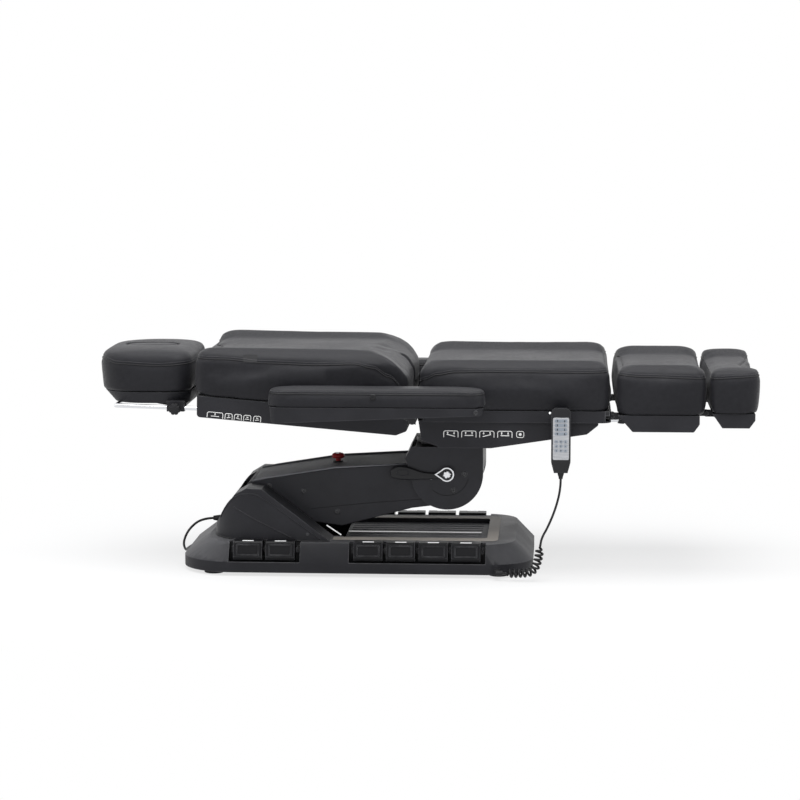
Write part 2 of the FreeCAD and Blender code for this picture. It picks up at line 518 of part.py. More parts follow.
# Seat.
seat = [box("seat_board", ("seat_rear + 6", "seat_front - 6"),
            ("-seat_shell_half + wall", "seat_shell_half - wall"),
            ("rail_top", "seat_low"))]
for tag, sign in (("left", ""), ("right", "-")):
    seat.append(box("seat_rail_" + tag, ("hinge_x - 11", "seat_front - 45"),
                    side_span(sign, "rail_y", "rail_y + rail_wide"),
                    ("rail_low", "rail_top")))
    seat.append(cylinder("tilt_pin_" + tag, "y", ("tilt_x", "tilt_z"),
                         side_span(sign, "tilt_in - 6", "rail_y + 1"), "tilt_pin_r"))
    seat.append(cylinder("hinge_stub_" + tag, "y", ("hinge_x", "hinge_z"),
                         side_span(sign, "rail_y", "plate_out"), "hinge_r"))
    seat.append(prism("hinge_plate_" + tag, "XZ", [("hinge_x + 10", "hinge_z - 12"),
                                                   ("hinge_x + 10", "hinge_z + 12"),
                                                   ("back_x + 6", "back_z + 16"),
                                                   ("back_x - 14", "back_z + 8"),
                                                   ("back_x - 8", "back_z - 14")],
                      *side_span(sign, "plate_in", "plate_out")))
    seat.append(cylinder("back_pin_" + tag, "y", ("back_x", "back_z"),
                         side_span(sign, "plate_in - 30", "arm_rest_in"), "pivot_r"))
    seat.append(box("leg_lug_" + tag, ("seat_front - 60", "leg_pivot_x"),
                    side_span(sign, "lug_y", "lug_y + lug_wide"),
                    ("leg_pivot_z - 10", "rail_top")))
    seat.append(cylinder("leg_lug_eye_" + tag, "y", ("leg_pivot_x", "leg_pivot_z"),
                         side_span(sign, "lug_y", "lug_y + lug_wide"), "10"))
    seat.append(cylinder("leg_pin_" + tag, "y", ("leg_pivot_x", "leg_pivot_z"),
                         side_span(sign, "lug_y", "lug_y + 2*lug_wide + 4"), "hinge_pin_r"))
for tag, y in (("in", "-13"), ("out", "13")):
    low, high = ("-20", "-13") if tag == "in" else ("13", "20")
    seat.append(prism("horn_" + tag, "XZ", [("hinge_x + 10", "hinge_z - 12"),
                                            ("hinge_x + 10", "hinge_z + 12"),
                                            ("hinge_x - 12", "hinge_z + 4"), ("horn_x - 10", "horn_z + 10"),
                                            ("horn_x - 10", "horn_z - 10")], low, high))
    for kind, name in (("tilt_y", "tilt_hang"), ("leg_y", "leg_hang")):
        x, z = ("tilt_b_x", "tilt_b_z") if kind == "tilt_y" else ("leg_a_x",
            "leg_pivot_z + leg_lug_z - leg_sag")
        seat.append(box("%s_%s" % (name, tag), (x + " - 12", x + " + 12"),
                        ("%s + %s" % (kind, low), "%s + %s" % (kind, high)),
                        (z + " - 10", "rail_top + 1")))
seat.append(cylinder("horn_pin", "y", ("horn_x", "horn_z"), ("-20", "20"), "motor_pin_r"))
seat.append(cylinder("hinge_cross", "y", ("hinge_x", "hinge_z"), ("-rail_y - 1", "rail_y + 1"), "hinge_r"))
seat.append(cylinder("tilt_hang_pin", "y", ("tilt_b_x", "tilt_b_z"), ("tilt_y - 20", "tilt_y + 20"),
                     "motor_pin_r"))
seat.append(cylinder("leg_hang_pin", "y", ("leg_a_x", "leg_pivot_z + leg_lug_z - leg_sag"),
                     ("leg_y - 20", "leg_y + 20"),
                     "motor_pin_r"))
ship("seat_frame", fuse("seat_frame", *seat))
seat_foam = solid("seat_foam", cushion(val("seat_rear"), val("seat_front"), val("seat_half"), val("seat_low"),
                                       val("seat_seam"), val("seat_crown"), 40, 40, 46, 26))
ship("seat_cushion", cut("seat_cushion", seat_foam, valley("seat", "seat_rear", "seat_front", "seat_crown")))
tub_out = [("seat_rear + 5", "seat_tier"), ("seat_rear + 13", "seat_tub_low + 21"),
           ("seat_rear + 68", "seat_tub_low"),
           ("seat_rear + 208", "seat_tub_low"), ("seat_front - 69", "seat_tub_low + 41"),
           ("seat_front - 37", "seat_tier - 7"),
           ("seat_front - 37", "seat_tier")]
tub_in = [("seat_rear + 5 + wall", "seat_low + 1"), ("seat_rear + 12 + wall", "seat_tub_low + 21 + wall"),
          ("seat_rear + 69", "seat_tub_low + wall"), ("seat_rear + 208", "seat_tub_low + wall"),
          ("seat_front - 70", "seat_tub_low + 41 + wall"), ("seat_front - 37 - wall", "seat_tier - 5"),
          ("seat_front - 37 - wall", "seat_low + 1")]
tub = fuse("seat_tub", prism("seat_tub_form", "XZ", tub_out, "-seat_tub_half", "seat_tub_half",
                             [((1, 4, 5), "8")]),
           slab("seat_band", ("seat_rear + 2", "seat_front - 2"), "seat_shell_half",
                ("seat_tier", "seat_low"), "30", "30"))
tub_cuts = [prism("seat_tub_hollow", "XZ", tub_in, "-seat_tub_half + wall", "seat_tub_half - wall"),
            box("seat_band_hollow", ("seat_rear + 6", "seat_front - 6"),
                ("-seat_shell_half + wall", "seat_shell_half - wall"),
                ("seat_tier + wall", "seat_low + 1")),
            box("seat_turn_opening", ("seat_rear", "seat_rear + 235"), ("-rail_y - 40", "rail_y + 40"),
                ("seat_tub_low - 1", "seat_tub_low + 30")),
            box("seat_rear_opening", ("seat_rear", "seat_rear + 24"), ("-rail_y - 60", "rail_y + 60"),
                ("seat_tub_low - 1", "seat_low + 1")),
            box("seat_front_opening", ("seat_front - 210", "seat_front"), ("leg_y - 26", "leg_y + 26"),
                ("leg_pivot_z + leg_lug_z - 30", "seat_low + 1"))]
for tag, low, high in (("left", "lug_y - 3", "lug_y + 2*lug_wide + 8"),
                       ("right", "-lug_y - 2*lug_wide - 8", "3 - lug_y")):
    tub_cuts.append(box("seat_lug_gap_" + tag, ("seat_front - 64", "seat_front"), (low, high),
                        ("leg_pivot_z - 14", "seat_low + 1")))
hook = box("handset_hook", ("handset_x - hook_half", "handset_x + hook_half"),
           ("handset_back + play", "-seat_shell_half + 1"),
           ("hook_z - 14", "hook_z"))
ship("seat_shell", cut("seat_shell", fuse("seat_shell_form", tub, hook), *tub_cuts))

# Leg rest and foot rest.
leg_b = ("leg_pivot_x + leg_lug_x", "leg_pivot_z + leg_lug_z")
leg = [box("leg_board", ("leg_rear + 29", "leg_front - 26"),
           ("-seat_shell_half + wall", "seat_shell_half - wall"),
           ("leg_low - board", "leg_low"))]
for tag, sign in (("left", ""), ("right", "-")):
    eye = side_span(sign, "lug_y + lug_wide + 2", "lug_y + 2*lug_wide + 2")
    leg.append(cylinder("leg_eye_" + tag, "y", ("leg_pivot_x", "leg_pivot_z"), eye, "10"))
    leg.append(box("leg_eye_arm_" + tag, ("leg_pivot_x", "leg_rear + 40"), eye,
                   ("leg_pivot_z - 10", "leg_pivot_z + 9")))
    lug = side_span(sign, "foot_lug_y", "foot_lug_y + lug_wide")
    leg.append(box("foot_lug_" + tag, ("leg_front - 40", "foot_pivot_x"), lug,
                   ("foot_pivot_z - 9", "foot_pivot_z + 7")))
    leg.append(cylinder("foot_lug_eye_" + tag, "y", ("foot_pivot_x", "foot_pivot_z"), lug, "9"))
    leg.append(cylinder("foot_pin_" + tag, "y", ("foot_pivot_x", "foot_pivot_z"),
                        side_span(sign, "foot_lug_y", "foot_lug_y + 2*lug_wide + 4"), "hinge_pin_r"))
for tag, low, high in (("in", "leg_y - 20", "leg_y - 12"), ("out", "leg_y + 12", "leg_y + 20")):
    leg.append(prism("leg_horn_" + tag, "XZ", [(leg_b[0] + " - 10", leg_b[1] + " - 8"),
                                               (leg_b[0] + " + 8", leg_b[1] + " - 10"),
                                               ("leg_rear + 70", "leg_low - board + 1"),
                                               ("leg_rear + 30", "leg_low - board + 1")], low, high))
leg.append(cylinder("leg_horn_pin", "y", leg_b, ("leg_y - 20", "leg_y + 20"), "motor_pin_r"))
leg_bore = [cylinder("leg_bore_" + t, "y", ("leg_pivot_x", "leg_pivot_z"), s, "hinge_pin_r + play")
            for t, s in (("left", ("lug_y + lug_wide + 1", "lug_y + 3*lug_wide")),
                         ("right", ("-lug_y - 3*lug_wide", "-lug_y - lug_wide - 1")))]
ship("leg_frame", cut("leg_frame", fuse("leg_steel", *leg), *leg_bore))
leg_foam = solid("leg_foam", cushion(val("leg_rear"), val("leg_front"), val("seat_half"), val("leg_low"),
                                     val("leg_seam"), val("leg_crown"), 34, 34, 22, 22))
ship("leg_cushion", cut("leg_cushion", leg_foam, valley("leg", "leg_rear", "leg_front", "leg_crown")))


def pan(name, rear, front, low, top, chamfer, half):
    # A shallow moulded pan with a chamfered rear lower edge, open on top.
    out = [(rear, top), ("%s + %s" % (rear, chamfer), low), (front + " - 16", low), (front, low + " + 22"),
           (front, top)]
    inside = [(rear + " + wall + 2", top + " + 1"), ("%s + %s + 2" % (rear, chamfer), low + " + wall"),
              (front + " - 18", low + " + wall"), (front + " - wall", low + " + 23"),
              (front + " - wall", top + " + 1")]
    return cut(name, prism(name + "_form", "XZ", out, "-(%s)" % half, half),
               prism(name + "_hollow", "XZ", inside, "wall - (%s)" % half, half + " - wall"))


gaps = [box("leg_horn_gap", ("leg_rear", "leg_rear + 90"), ("leg_y - 26", "leg_y + 26"),
            ("leg_shell_low - 1", "leg_low - board"))]
for tag, low, high in (("left", "lug_y - 3", "lug_y + 2*lug_wide + 8"),
                       ("right", "-lug_y - 2*lug_wide - 8", "3 - lug_y")):
    gaps.append(box("leg_eye_gap_" + tag, ("leg_rear", "leg_rear + 45"), (low, high),
                    ("leg_pivot_z - 40", "leg_low + 1")))
for tag, low, high in (("left", "foot_lug_y - 3", "foot_lug_y + lug_wide + 3"),
                       ("right", "-foot_lug_y - lug_wide - 3", "3 - foot_lug_y")):
    gaps.append(box("foot_lug_gap_" + tag, ("leg_front - 60", "leg_front"), (low, high),
                    ("foot_pivot_z - 12", "leg_low + 1")))
ship("leg_shell", cut("leg_shell", pan("leg_pan", "leg_rear + 8", "leg_front - 22", "leg_shell_low",
                                       "leg_low", "42",
                                       "seat_shell_half"), *gaps))
foot_plan = cushion(val("foot_rear"), val("foot_front"), val("seat_half"), val("foot_low"), val("foot_seam"),
                    val("foot_crown"), 24, 44, 14, 18)
end_notch = cylinder("foot_end_notch", "z", ("foot_front + foot_notch_r - foot_notch", "0"),
                     ("foot_low - 1", "foot_crown + 5"), "foot_notch_r")
ship("foot_cushion", cut("foot_cushion", solid("foot_foam", foot_plan),
                         valley("foot", "foot_rear", "foot_front", "foot_crown"), end_notch))
foot = [pan("foot_pan", "foot_rear + 9", "foot_front - 16", "foot_shell_low", "foot_low", "28",
            "seat_half - 20"),
        box("foot_board", ("foot_rear + 9 + wall", "foot_front - 16 - wall"),
            ("20 + wall - seat_half", "seat_half - 20 - wall"),
            ("foot_low - 9", "foot_low"))]
foot_bores = []
for tag, sign in (("left", ""), ("right", "-")):
    eye = side_span(sign, "foot_lug_y + lug_wide + 2", "foot_lug_y + 2*lug_wide + 2")
    foot.append(cylinder("foot_eye_" + tag, "y", ("foot_pivot_x", "foot_pivot_z"), eye, "9"))
    foot.append(box("foot_eye_arm_" + tag, ("foot_pivot_x", "foot_rear + 40"), eye,
                    ("foot_pivot_z - 9", "foot_low - 3")))
    foot_bores.append(cylinder("foot_bore_" + tag, "y", ("foot_pivot_x", "foot_pivot_z"),
                               side_span(sign, "foot_lug_y + lug_wide + 1", "foot_lug_y + 3*lug_wide"),
                               "hinge_pin_r + play"))
ship("foot_shell", cut("foot_shell", fuse("foot_form", *foot), *foot_bores))
leg_sizes = [val("motor_r") + 2, val("motor_bore_r") + 3, val("motor_rod_r"), val("motor_pin_r")]
rod_z = val(leg_b[1])
tube_z = val("leg_pivot_z + leg_lug_z - leg_sag")
leg_tube = actuator((val("leg_a_x"), tube_z), (val(leg_b[0]), tube_z), val("leg_y"), 0.7, 0.42, leg_sizes)[0]
leg_rod = actuator((val("leg_a_x"), rod_z), (val(leg_b[0]), rod_z), val("leg_y"), 0.7, 0.44, leg_sizes)[1]
ship("leg_motor", solid("leg_motor_body", leg_tube))
ship("leg_rod", solid("leg_rod_bar", leg_rod))


# Back rest: its underside slopes down towards the seat.
def under_back(x, drop):
    return "back_low - back_slope*((%s) - back_low_x) - (%s)" % (x, drop)


def sloped(name, x0, x1, top, bottom, low, high, rounds=()):
    return prism(name, "XZ", [(x0, under_back(x0, bottom)), (x1, under_back(x1, bottom)),
                              (x1, under_back(x1, top)),
                              (x0, under_back(x0, top))], low, high, rounds)


foam = cushion(val("back_left"), val("back_right"), val("seat_half"), val(under_back("back_left", "0")),
               val("back_seam"), val("back_crown"), 40, 40, 24, 44, val("back_slope"), val("back_top_slope"))
back_foam = solid("back_foam", foam)
pockets = [box("pivot_pocket_" + t, ("back_x - 20", "back_x + 20"), s, ("back_z - 80", "back_z + 18"))
           for t, s in (("left", ("plate_in - 48", "seat_half + 5")),
                        ("right", ("-seat_half - 5", "48 - plate_in")))]
pockets.append(box("horn_notch_low", ("motor_c_x + 60", "back_right + 5"), ("-24", "24"),
                   ("horn_z - 20", "back_z + 26")))
pockets.append(box("horn_notch_high", ("back_right - 44", "back_right + 5"), ("-24", "24"),
                   ("horn_z", "back_crown + 5")))
end_block = box("end_block", ("back_x", "back_right + 20"), ("-seat_half - 9", "seat_half + 9"),
                ("back_z - 140", "back_z + 160"))
end_round = cylinder("end_round", "y", ("back_x", "back_z"), ("-seat_half - 10", "seat_half + 10"),
                     "back_end_r")
pockets.append(cut("end_trim", end_block, end_round))
pockets.append(valley("back", "back_left", "back_right", "back_crown"))
ship("back_cushion", cut("back_cushion", back_foam, *pockets))
steel = [sloped("back_board", "back_left + 18", "back_right - 24", "0", "board", "-seat_shell_half + wall",
                "seat_shell_half - wall")]
board_notch = box("board_notch", ("motor_c_x + 24", "back_right"), ("-26", "26"),
                  ("horn_z - 60", "back_z + 30"))
back_bores = []
for tag, sign in (("left", ""), ("right", "-")):
    steel.append(sloped("back_rail_" + tag, "back_left + 60", "back_x + 60", "board", "board + 24",
                        *side_span(sign, "215", "240")))
    steel.append(prism("pivot_lug_" + tag, "XZ", [("back_x - 16", under_back("back_x", "board")),
                                                  ("back_x + 16", under_back("back_x", "board")),
                                                  ("back_x + 12", "back_z"), ("back_x - 12", "back_z")],
                       *side_span(sign, "plate_in - 46", "plate_in - 32")))
    steel.append(cylinder("pivot_tube_" + tag, "y", ("back_x", "back_z"),
                          side_span(sign, "plate_in - 46", "plate_in - 3"), "tube_r"))
    back_bores.append(cylinder("pivot_bore_" + tag, "y", ("back_x", "back_z"),
                               side_span(sign, "plate_in - 47", "plate_in"),
                               "pivot_r + play"))
    steel.append(sloped("rail_guide_" + tag, "back_low_x + 12", "rail_right + 20", "board",
                        "back_deep - wall - 1",
                        *side_span(sign, "rail_gap - 14", "rail_gap + 14")))
    steel.append(prism("motor_lug_" + tag, "XZ", [("motor_c_x - 14", under_back("motor_c_x", "board")),
                                                  ("motor_c_x + 14", under_back("motor_c_x", "board")),
                                                  ("motor_c_x + 10", "motor_c_z - 10"),
                                                  ("motor_c_x - 10", "motor_c_z - 10")],
                       *side_span(sign, "13", "20")))
steel.append(cylinder("motor_c_pin", "y", ("motor_c_x", "motor_c_z"), ("-20", "20"), "motor_pin_r"))


def on_rail(x, y):
    return Vector(x, y, val("rail_z") - val("rail_slope") * (x - val("back_low_x")))


rail_ends = [(on_rail(val("rail_left"), s * val("rail_gap")),
              on_rail(val("rail_right"), s * val("rail_gap"))) for s in (1, -1)]
guide_bores = [solid("guide_bore_%d" % i, bar(a, b, val("rail_r"))) for i, (a, b) in enumerate(rail_ends)]
ship("back_frame", cut("back_frame", fuse("back_steel", *steel), board_notch, *back_bores, *guide_bores))
rail_shape = bar(rail_ends[0][0], rail_ends[1][0], val("rail_r"))
for a, b in rail_ends:
    rail_shape = rail_shape.fuse(bar(a, b, val("rail_r"))).fuse(Part.makeSphere(val("rail_r"), a))
ship("headrest_rail", solid("headrest_rail_bar", rail_shape))
shell_out = prism("back_shell_form", "XZ", [("back_left + 14", under_back("back_left + 14", "1")),
                                            ("back_low_x", under_back("back_low_x", "back_deep")),
                                            ("back_right - 40", under_back("back_right - 40", "back_deep")),
                                            ("back_right - 8", under_back("back_right", "back_deep - 16")),
                                            ("back_right - 8", under_back("back_right - 8", "1"))],
                  "-seat_shell_half", "seat_shell_half", [((1, 2, 3), "10")])
shell_in = prism("back_shell_hollow", "XZ", [("back_left + 18", under_back("back_left", "-1")),
                                             ("back_low_x + wall",
                                              under_back("back_low_x", "back_deep - wall")),
                                             ("back_right - 42",
                                              under_back("back_right - 42", "back_deep - wall")),
                                             ("back_right - 12", under_back("back_right", "back_deep - 18")),
                                             ("back_right - 12", under_back("back_right", "-1"))],
                 "-seat_shell_half + wall", "seat_shell_half - wall")
shell_cuts = [shell_in, box("horn_slot", ("back_x - 50", "back_right + 1"), ("-26", "26"),
                            ("horn_z - 60", "back_z + 20"))]
shell_cuts += [solid("rail_hole_%d" % i, bar(a, b, val("rail_r") + 2)) for i, (a, b) in enumerate(rail_ends)]
ship("back_shell", cut("back_shell", shell_out, *shell_cuts))
back_sizes = [val(s) for s in ("back_tube_r", "back_bore_r", "back_rod_r", "motor_pin_r")]
back_tube, back_rod = actuator((val("motor_c_x"), val("motor_c_z")), (val("horn_x"), val("horn_z")), 0, 0.74,
                               0.49, back_sizes)
ship("back_motor", solid("back_motor_body", back_tube))
ship("back_rod", solid("back_rod_bar", back_rod))

# Headrest, which slides along the rail.
hole = slab("face_hole", ("hole_x - hole_long", "hole_x + hole_long"), "hole_half",
            ("plug_low", "head_crown + 5"),
            "hole_half - 1", "hole_half - 1")
throat = slab("face_throat", ("hole_x - hole_long + 9", "hole_x + hole_long - 9"), "hole_half - 9",
              ("head_shell_low - 30", "plug_low + 1"), "hole_half - 10", "hole_half - 10")
head_foam = solid("head_foam", cushion(val("head_left"), val("head_right"), val("head_half"), val("head_low"),
                                       val("head_seam"), val("head_crown"), 104, 56, 26, 26))
ship("head_cushion", cut("head_cushion", head_foam, hole, throat))
pan_rings = [(val("head_shell_low"), 42, 12, 20, 90, 60), (val("head_low"), 12, 8, 10, 110, 64)]
pan_out = Part.makeLoft([ring(z, val("head_left") + a, val("head_right") - b, val("head_half") - c, d, e)
                         for z, a, b, c, d, e in pan_rings], True, True)
pan_in = Part.makeLoft([ring(z + s, val("head_left") + a + w, val("head_right") - b - w,
                             val("head_half") - c - w, d - w, e - w)
                        for (z, a, b, c, d, e), s in zip(pan_rings, (w, 1))], True, True)
clamps = []
for s in (1, -1):
    at = on_rail(val("knob_x"), s * val("rail_gap"))
    half = 14
    block = Part.makeBox(50, 2 * half, val("head_shell_low") + 8 - at.z + 10,
                         Vector(at.x - 25, at.y - half - s * 4, at.z - 10))
    clamps.append(block)
hollow_pan = pan_out.cut(pan_in)
head_tray = hollow_pan.fuse(clamps)
for a, b in rail_ends:
    head_tray = head_tray.cut(bar(a + (a - b) * 0.1, b, val("rail_r") + val("play")))
knob_at = on_rail(val("knob_x"), -val("rail_gap"))
knob_axis = Vector(knob_at.x, -val("head_half") + 2, knob_at.z - 1)
head_tray = head_tray.cut(Part.makeCylinder(4 + val("play"), 12, knob_axis + Vector(0, -6, 0),
                                            Vector(0, 1, 0)))
ship("head_shell", cut("head_shell", solid("head_pan", head_tray), throat))
ship("face_plug", slab("face_plug", ("hole_x - hole_long + 1", "hole_x + hole_long - 1"), "hole_half - 1",
                       ("plug_low", "head_crown - 2"), "hole_half - 2", "hole_half - 2"))
knob = Part.makeCylinder(val("knob_r"), 16, knob_axis + Vector(0, -18, 0), Vector(0, 1, 0))
knob = knob.fuse(Part.makeCylinder(4, 9, knob_axis + Vector(0, -3, 0), Vector(0, 1, 0)))
ship("head_knob", solid("head_knob_grip", knob))

# Armrests, which fold up about the back rest's pivot.
for tag, sign in (("right", "-"), ("left", "")):
    near, far = side_span(sign, "arm_rest_in", "arm_rest_out")
    corners = [("arm_rest_rear", near), ("arm_rest_front", near), ("arm_rest_front", far),
               ("arm_rest_rear", far)]
    pad_form = prism("pad_form_" + tag, "XY", corners, "arm_rest_joint", "arm_rest_top",
                     [((0, 1, 2, 3), "arm_rest_round")])
    pad = doc.addObject("Part::Fillet", "pad_" + tag)
    pad.Base = pad_form
    doc.recompute()
    top_edges = [(i, 16.0, 16.0) for i, e in enumerate(pad_form.Shape.Edges, 1)
                 if all(abs(v.Z - val("arm_rest_top")) < 0.01 for v in e.Vertexes)]
    pad.Edges = top_edges
    ship("armrest_%s_pad" % tag, pad)
    plan_form = prism("armrest_plan_" + tag, "XY", corners, "arm_rest_low_rear - 1", "arm_rest_joint",
                      [((0, 1, 2, 3), "arm_rest_round - 4")])
    side_form = prism("armrest_side_" + tag, "XZ",
                      [("arm_rest_rear + 6", "arm_rest_joint"), ("arm_rest_rear + 12", "arm_rest_low_rear"),
                                                    ("arm_rest_front - 10", "arm_rest_low_front"),
                                                    ("arm_rest_front - 4", "arm_rest_joint")],
                      *side_span(sign, "arm_rest_in", "arm_rest_out - 4"), [((1, 2), "10")])
    form = common("armrest_form_" + tag, plan_form, side_form)
    cheek = prism("armrest_cheek_" + tag, "XZ", [("back_x - 20", "arm_rest_joint - 30"),
                                                 ("back_x + 20", "arm_rest_joint - 30"),
                                                 ("back_x + 18", "back_z + 16"),
                                                 ("back_x - 18", "back_z + 16")],
                  *side_span(sign, "plate_out + 2", "arm_rest_in"))
    bore = cylinder("armrest_bore_" + tag, "y", ("back_x", "back_z"),
                    side_span(sign, "plate_out + 1", "arm_rest_in + 1"), "pivot_r + play")
    ship("armrest_%s_shell" % tag, cut("armrest_%s_shell" % tag, fuse("armrest_body_" + tag, form, cheek),
                                       bore))

# Handset on its hook.
hand = prism("handset_form", "XZ", [("handset_x - handset_half", "handset_low + 30"),
                                    ("handset_x - handset_half + 8", "handset_low"),
                                    ("handset_x + handset_half - 8", "handset_low"),
                                    ("handset_x + handset_half", "handset_low + 30"),
                                    ("handset_x + handset_half", "handset_top"),
                                    ("handset_x - handset_half", "handset_top")],
             "handset_face", "handset_back", [((0, 3), "20"), ((4, 5), "14")])
relief = cylinder("handset_relief", "z", ("handset_x", "(handset_face + handset_back)/2"),
                  ("handset_low - relief_long", "handset_low + 2"),
                  "cord_r + 2.5")
ship("handset", fuse("handset", hand, relief))


# Cords: straight runs with tangent arcs, and turns as pairs of arcs that share their tangents.
def rounded_route(points):
    edges = []
    last = points[0]
    for before, corner, after in zip(points, points[1:], points[2:]):
        back, ahead = before - corner, after - corner
        half = (math.pi - back.getAngle(ahead)) / 2
        reach = 0.45 * min(back.Length, ahead.Length)
        bend = reach / math.tan(half)
        a = corner + back.normalize() * reach
        b = corner + ahead.normalize() * reach
        centre_way = (back + ahead).normalize()
        middle = corner + centre_way * (bend / math.cos(half) - bend)
        edges.append(Part.LineSegment(last, a).toShape())
        edges.append(Part.Arc(a, middle, b).toShape())
        last = b
    edges.append(Part.LineSegment(last, points[-1]).toShape())
    return edges


def arc_from(start, corner, end):
    back, ahead = (start - corner), (end - corner)
    half = (math.pi - back.getAngle(ahead)) / 2
    if half < 1e-4:
        return Part.LineSegment(start, end).toShape()
    bend = back.Length / math.tan(half)
    way = (Vector(back).normalize() + Vector(ahead).normalize()).normalize()
    return Part.Arc(start, corner + way * (bend / math.cos(half) - bend), end).toShape()


def biarcs(points, ways):
    edges = []
    for p, q, s, t in zip(points, points[1:], ways, ways[1:]):
        run = q - p
        both_ways = s + t
        share = 2 * (1 - s.dot(t))
        along = run.dot(both_ways)
        reach = run.dot(run) / (2 * along) if share < 1e-9 else (
            math.sqrt(along * along + share * run.dot(run)) - along) / share
        a, b = p + s * reach, q - t * reach
        joint = (a + b) * 0.5
        edges += [arc_from(p, a, joint), arc_from(joint, b, q)]
    return edges


def tube(name, edges, radius):
    route = Part.Wire(edges)
    first = edges[0]
    way = first.tangentAt(first.FirstParameter)
    circle = Part.Wire(Part.makeCircle(radius, first.valueAt(first.FirstParameter), way))
    shape = Part.BRepOffsetAPI.MakePipeShell(route)
    shape.add(circle)
    shape.build()
    shape.makeSolid()
    pipe = shape.shape()
    ideal = math.pi * radius * radius * route.Length
    print(name, "length", round(route.Length), "volume share", round(pipe.Volume / ideal, 4))
    return pipe, route


mr = val("mains_r")
gland_start = Vector(val("hood_rear") - 1, 0, val("gland_z"))
gland = Part.makeCone(11, 6.5, 30, gland_start + Vector(6, 0, 0), Vector(-1, 0, 0))
gland = gland.cut(Part.makeCylinder(mr + val("play"), 16, gland_start + Vector(-8, 0, 0), Vector(-1, 0, 0)))
doc.recompute()
ship("mains_gland", solid("mains_gland_boot", gland.cut(shipped["hood"].Shape)))
cx, cy = val("coil_x"), val("coil_y")
pitch = 2 * mr + 1
turns = int(val("coil_turns"))
coil_out = val("coil_in") + turns * pitch
floor_z = mr + 0.2
join = Vector(cx - coil_out, cy - 0.1, floor_z)
mains_route = [gland_start + Vector(-12, 0, 0), gland_start + Vector(-56, 0, 0),
               gland_start + Vector(-98, 6, -34),
               gland_start + Vector(-118, 22, -78), Vector(-722, 58, floor_z + 4), Vector(-726, 118, floor_z),
               Vector(-716, 190, floor_z), Vector(-698, 262, floor_z),
               Vector(cx - coil_out - 4, cy - 56, floor_z), join]
mains_pipe, mains_wire = tube("mains_cord", rounded_route(mains_route), mr)
ship("mains_cord", solid("mains_cord_tube", mains_pipe))
coil_points, coil_ways = [], []
quarters = 4 * turns
for i in range(2 * quarters + 2):
    layer_turn = i if i <= quarters else 2 * quarters - i
    radius = coil_out - pitch * layer_turn / 4
    angle = math.pi - i * math.pi / 2
    climb = min(max((i - quarters + 1) / 2, 0), 1)
    drift = (-pitch / (2 * math.pi) if i < quarters else pitch / (2 * math.pi)) if i != quarters else 0
    coil_points.append(Vector(cx + radius * math.cos(angle), cy + radius * math.sin(angle),
                              floor_z + climb * pitch))
    out = Vector(math.cos(angle), math.sin(angle), 0)
    round_way = Vector(math.sin(angle), -math.cos(angle), 0)
    rise = pitch / (math.pi * radius) if i == quarters else 0
    coil_ways.append((round_way + out * (drift / radius) + Vector(0, 0, rise)).normalize())
coil_points.append(coil_points[-1] + Vector(44, 5, 0))
coil_ways.append(Vector(0.99, 0.14, 0).normalize())
coil_pipe, coil_wire = tube("mains_coil", biarcs(coil_points, coil_ways), mr)
ship("mains_coil", solid("mains_coil_tube", coil_pipe))
tail, tail_way = coil_points[-1], coil_ways[-1]
plug = Part.makeCone(5, 9, 26, tail + tail_way * 0.2, tail_way)
plug = plug.fuse(Part.makeCylinder(10, 22, tail + tail_way * 26, tail_way))
for s in (-6, 6):
    plug = plug.fuse(Part.makeCylinder(2.4, 19, tail + tail_way * 47 + Vector(0, s, 0), tail_way))
ship("mains_plug", solid("mains_plug_body", plug))

cr = val("cord_r")
top = Vector(val("handset_x"), val("(handset_face + handset_back)/2"),
             val("handset_low - relief_long - 2*play"))
curl_axis = [Vector(330, -332, 98), Vector(326, -334, 60), Vector(310, -334, 26), Vector(270, -332, 22),
             Vector(232, -330, 22)]
axis_wire = Part.Wire(rounded_route(curl_axis))
hand_route = [top, Vector(top.x, top.y, 262), Vector(372, top.y, 205), Vector(350, -333, 152),
              Vector(334, -332, 124),
              curl_axis[0]]
count = int(val("curl_count"))
spots = axis_wire.discretize(4 * count + 1)
curl_points, curl_ways = [], []
fade = 4
for i, spot in enumerate(spots):
    ahead = (spots[min(i + 1, 4 * count)] - spots[max(i - 1, 0)]).normalize()
    side = Vector(0, 1, 0).cross(ahead).normalize()
    up = ahead.cross(side)
    step = axis_wire.Length / (4 * count)
    swell = val("curl_r") * min(1, i / fade, (4 * count - i) / fade)
    angle = i * math.pi / 2
    curl_points.append(spot + side * (swell * math.cos(angle)) + up * (swell * math.sin(angle)))
    spin_way = side * (-math.sin(angle)) + up * math.cos(angle)
    curl_ways.append((ahead * step + spin_way * (swell * math.pi / 2)).normalize())
hand_edges = rounded_route(hand_route)
curl_ways[0] = hand_edges[-1].tangentAt(hand_edges[-1].LastParameter).normalize()
curl_edges = biarcs(curl_points, curl_ways)
tail_spot, tail_dir = curl_points[-1], curl_ways[-1]
curl_edges.append(Part.LineSegment(tail_spot, tail_spot + tail_dir * 7).toShape())
hand_pipe, hand_wire = tube("handset_cord", hand_edges + curl_edges, cr)
ship("handset_cord", solid("handset_cord_tube", hand_pipe))
socket_end = tail_spot + tail_dir * 7.3
socket = Part.makeCylinder(8, 18, socket_end, tail_dir)
reach = Part.makeBox(14, 40, 14, Vector(socket_end.x - 22, socket_end.y, socket_end.z - 7))
connector = socket.fuse(reach).cut(outer_loft)
ship("handset_connector", solid("handset_connector_body", connector))

